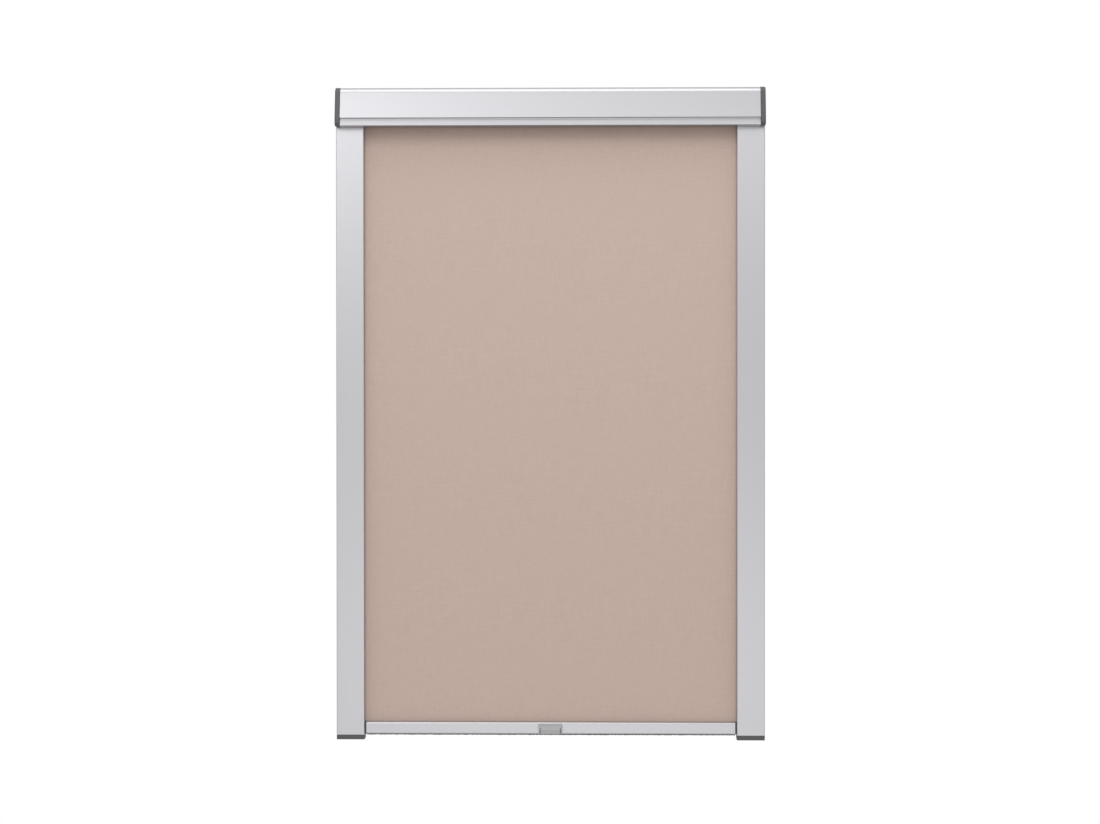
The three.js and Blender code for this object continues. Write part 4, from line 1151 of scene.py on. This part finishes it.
for side, way in SIDES:
    x = inwards(way)
    flange_end = outer_face - bar_high.x - seat_gap
    guide = block(f"{side}_guide", (x(guide_near), channel_front, bar_foot + guide_floor),
                  (x(guide_far), channel_back, bar_foot + guide_rise))
    worked(
        guide, "UNION",
        block("neck", (x(guide_far - neck_lap), fabric_y - neck_half, bar_foot + neck_floor),
              (x(flange_end), fabric_y + neck_half, bar_foot + neck_floor + neck_height)),
        drawn("flange", [
            (bar_front + seat_gap, bar_foot, bar_radius),
            (bar_back - seat_gap, bar_foot, bar_radius),
            (bar_back - seat_gap, bar_top, bar_radius),
            (bar_front + seat_gap, bar_top, crest_radius),
        ], x(flange_end - flange), x(flange_end)),
        bar_hollow("spigot", seat_gap, x(flange_end - flange / 2),
                   x(outer_face - bar_high.x + spigot_length)))
    worked(
        guide, "DIFFERENCE",
        block("slot", (x(guide_near - 1), fabric_y - fabric_slot_half, bar_top - seat_gap),
              (x(guide_far + 1), fabric_y + fabric_slot_half, bar_foot + guide_rise + 1)),
        block("recess", (x(guide_near - 1), channel_middle - recess_half, recess_middle - recess_rise / 2),
              (x(guide_near + recess_depth), channel_middle + recess_half,
               recess_middle + recess_rise / 2)))
    eased(guide, 0.3)
    fitted(guide, dark_abs, "bar", "dark_plastic", f"bar_guide_{side}")

    pad = block(f"{side}_felt_pad", (way * pad_low.x, *pad_low.yz), (way * pad_high.x, *pad_high.yz))
    eased(pad, 0.5, segments=3)
    fitted(pad, felt, "bar", "felt", f"brake_pad_{side}")

    bow = leaf_high.x - leaf_low.x - leaf_thickness
    near, far = [], []
    for i in range(17):
        share = i / 16
        rise = leaf_low.x + leaf_thickness / 2 + bow * math.sin(math.pi * share)
        height = leaf_low.z + (leaf_high.z - leaf_low.z) * share
        near.append((way * (rise + leaf_thickness / 2), height))
        far.append((way * (rise - leaf_thickness / 2), height))
    leaf = drawn(f"{side}_brake_spring", near + far[::-1], leaf_low.y, leaf_high.y, along="Y")
    eased(leaf, 0.08)
    fitted(leaf, spring_steel, "bar", "spring_steel", f"brake_leaf_{side}")

# Pull handle
# Moulded in mid-grey ABS and pressed into the bar on two studs. Its plate curves out at its foot into
# a lip for the fingers, between two thin ribs.

handle_plate = 1.4
handle_margin = 2.3
handle_lip = 4.4
handle_tip_radius = 2
handle_rise = 0.9  # of the lip's foot, above the bar's underside
plate_half = 17.2
plate_rise = 7.6  # of the plate's foot, above the lip's
grip_half = 16.2
slot_start, slot_width = 13.9, 1.3  # between the lip and a rib
slot_rise = 8.4
stud_length = 3.2

grey_abs = moulded("moulded ABS, mid grey", "#9F9FA0", 0.42, 0.35)
handle_back = bar_front - seat_gap
handle_face = handle_back - handle_plate
handle_tip = span("pull_handle")[0].y
handle_top = bar_top - handle_margin
lip_foot = bar_foot + handle_rise
lip_top = lip_foot + handle_lip
turns = [math.pi / 2 * i / 16 for i in range(17)]
sweep = [(handle_tip + (handle_face - handle_tip) * math.sin(turn),
          lip_top + (handle_top - lip_top) * (1 - math.cos(turn))) for turn in turns]
handle = drawn("handle", [
    *reversed(sweep),
    (handle_tip, lip_foot, handle_tip_radius),
    (handle_back, lip_foot),
    (handle_back, handle_top),
], -grip_half, grip_half)
plate = block("plate", (-plate_half, handle_face, lip_foot + plate_rise),
              (plate_half, handle_back, handle_top))
for part in (handle, plate):
    eased(part, 0.3, segments=3)
worked(handle, "UNION", plate)
worked(handle, "DIFFERENCE", *(
    block("slot", (way * slot_start, handle_tip - 1, lip_foot - 1),
          (way * (slot_start + slot_width), handle_face + seat_gap, lip_foot + slot_rise))
    for way in (-1, 1)))
worked(handle, "UNION", *(
    pin("stud", stud_radius, (end * stud_x, stud_z), handle_back - handle_plate / 2,
        bar_front + stud_length, along="Y", sides=24)
    for end in (-1, 1)))
fitted(handle, grey_abs, "bar", "grey_plastic", "pull_handle")

# Floor and studio light
# The floor is a pale disc under the hanging blind that fades out to white. Two soft boxes in front light
# the cloth and the plastics, with a card overhead and one below. The cards at the left and right show
# in gloss alone, brightest at the left.

floor_height = -1.3
floor_radius = 1.4
floor_plain = 0.7  # inside this radius it doesn't fade

bpy.ops.object.select_all(action="DESELECT")
bpy.ops.mesh.primitive_circle_add(
    vertices=96, radius=floor_radius, fill_type="NGON", location=(0, 0, floor_height))
floor = placed("floor")
material, tree, surface, place = finish("pale floor", Roughness=0.9)
surface.inputs["Base Color"].default_value = colour("#ECECEA")
flat = node(tree, "Mapping", {"Vector": place, "Scale": (1, 1, 0)}).outputs["Vector"]
reach = node(tree, "VectorMath", {0: flat}, operation="LENGTH")
fade = node(tree, "MapRange", {
    "Value": reach.outputs["Value"], "From Min": floor_radius, "From Max": floor_plain,
}, interpolation_type="SMOOTHSTEP")
tree.links.new(fade.outputs["Result"], surface.inputs["Alpha"])
floor.data.materials.append(material)

world = bpy.data.worlds.new("studio")
bpy.context.scene.world = world
world.use_nodes = True
tree = world.node_tree
rays = node(tree, "LightPath").outputs
shown = rays["Is Camera Ray"]
for kind in ("Is Glossy Ray", "Is Transmission Ray"):
    shown = node(tree, "Math", {0: shown, 1: rays[kind]}, operation="MAXIMUM").outputs[0]
strength = node(tree, "MapRange", {"Value": shown, "To Min": 0.6, "To Max": 1})
tree.nodes["Background"].inputs["Color"].default_value = (1, 1, 1, 1)
tree.links.new(strength.outputs["Result"], tree.nodes["Background"].inputs["Strength"])

blind_middle = Vector((0, 0, -0.35))


def lamp(name, wide, high, power, place, on_matt=True, in_gloss=True):
    """A soft lamp aimed at the blind, in metres. It lights matt surfaces, shows in gloss, or does both."""
    light = bpy.data.lights.new(name, "AREA")
    light.shape = "RECTANGLE"
    light.size, light.size_y = wide, high
    light.energy = power
    made = bpy.data.objects.new(name, light)
    made.location = place
    made.rotation_euler = (blind_middle - Vector(place)).to_track_quat("-Z", "Y").to_euler()
    made.visible_camera = False
    made.visible_diffuse = on_matt
    made.visible_glossy = in_gloss
    bpy.context.scene.collection.objects.link(made)


lamp("upper soft box", 1.4, 1.1, 28.5, (0, -2.3, 1.5), in_gloss=False)
lamp("lower soft box", 1.4, 0.8, 6.5, (0, -2.5, 0.7))
lamp("tall card, left", 1.2, 1.5, 10.5, (-1.1, -2.3, 1), on_matt=False)
lamp("low card, left", 1, 0.6, 2.6, (-1, -2.6, 0.35), on_matt=False)
lamp("low card, right", 1, 0.6, 1.3, (1, -2.6, 0.4), on_matt=False)
lamp("card overhead", 1.6, 1.4, 14, (-0.05, -0.5, 1.55))
lamp("card below", 1.6, 0.8, 5.2, (0, -2.6, -1.15))

bpy.context.scene.view_settings.view_transform = "Standard"
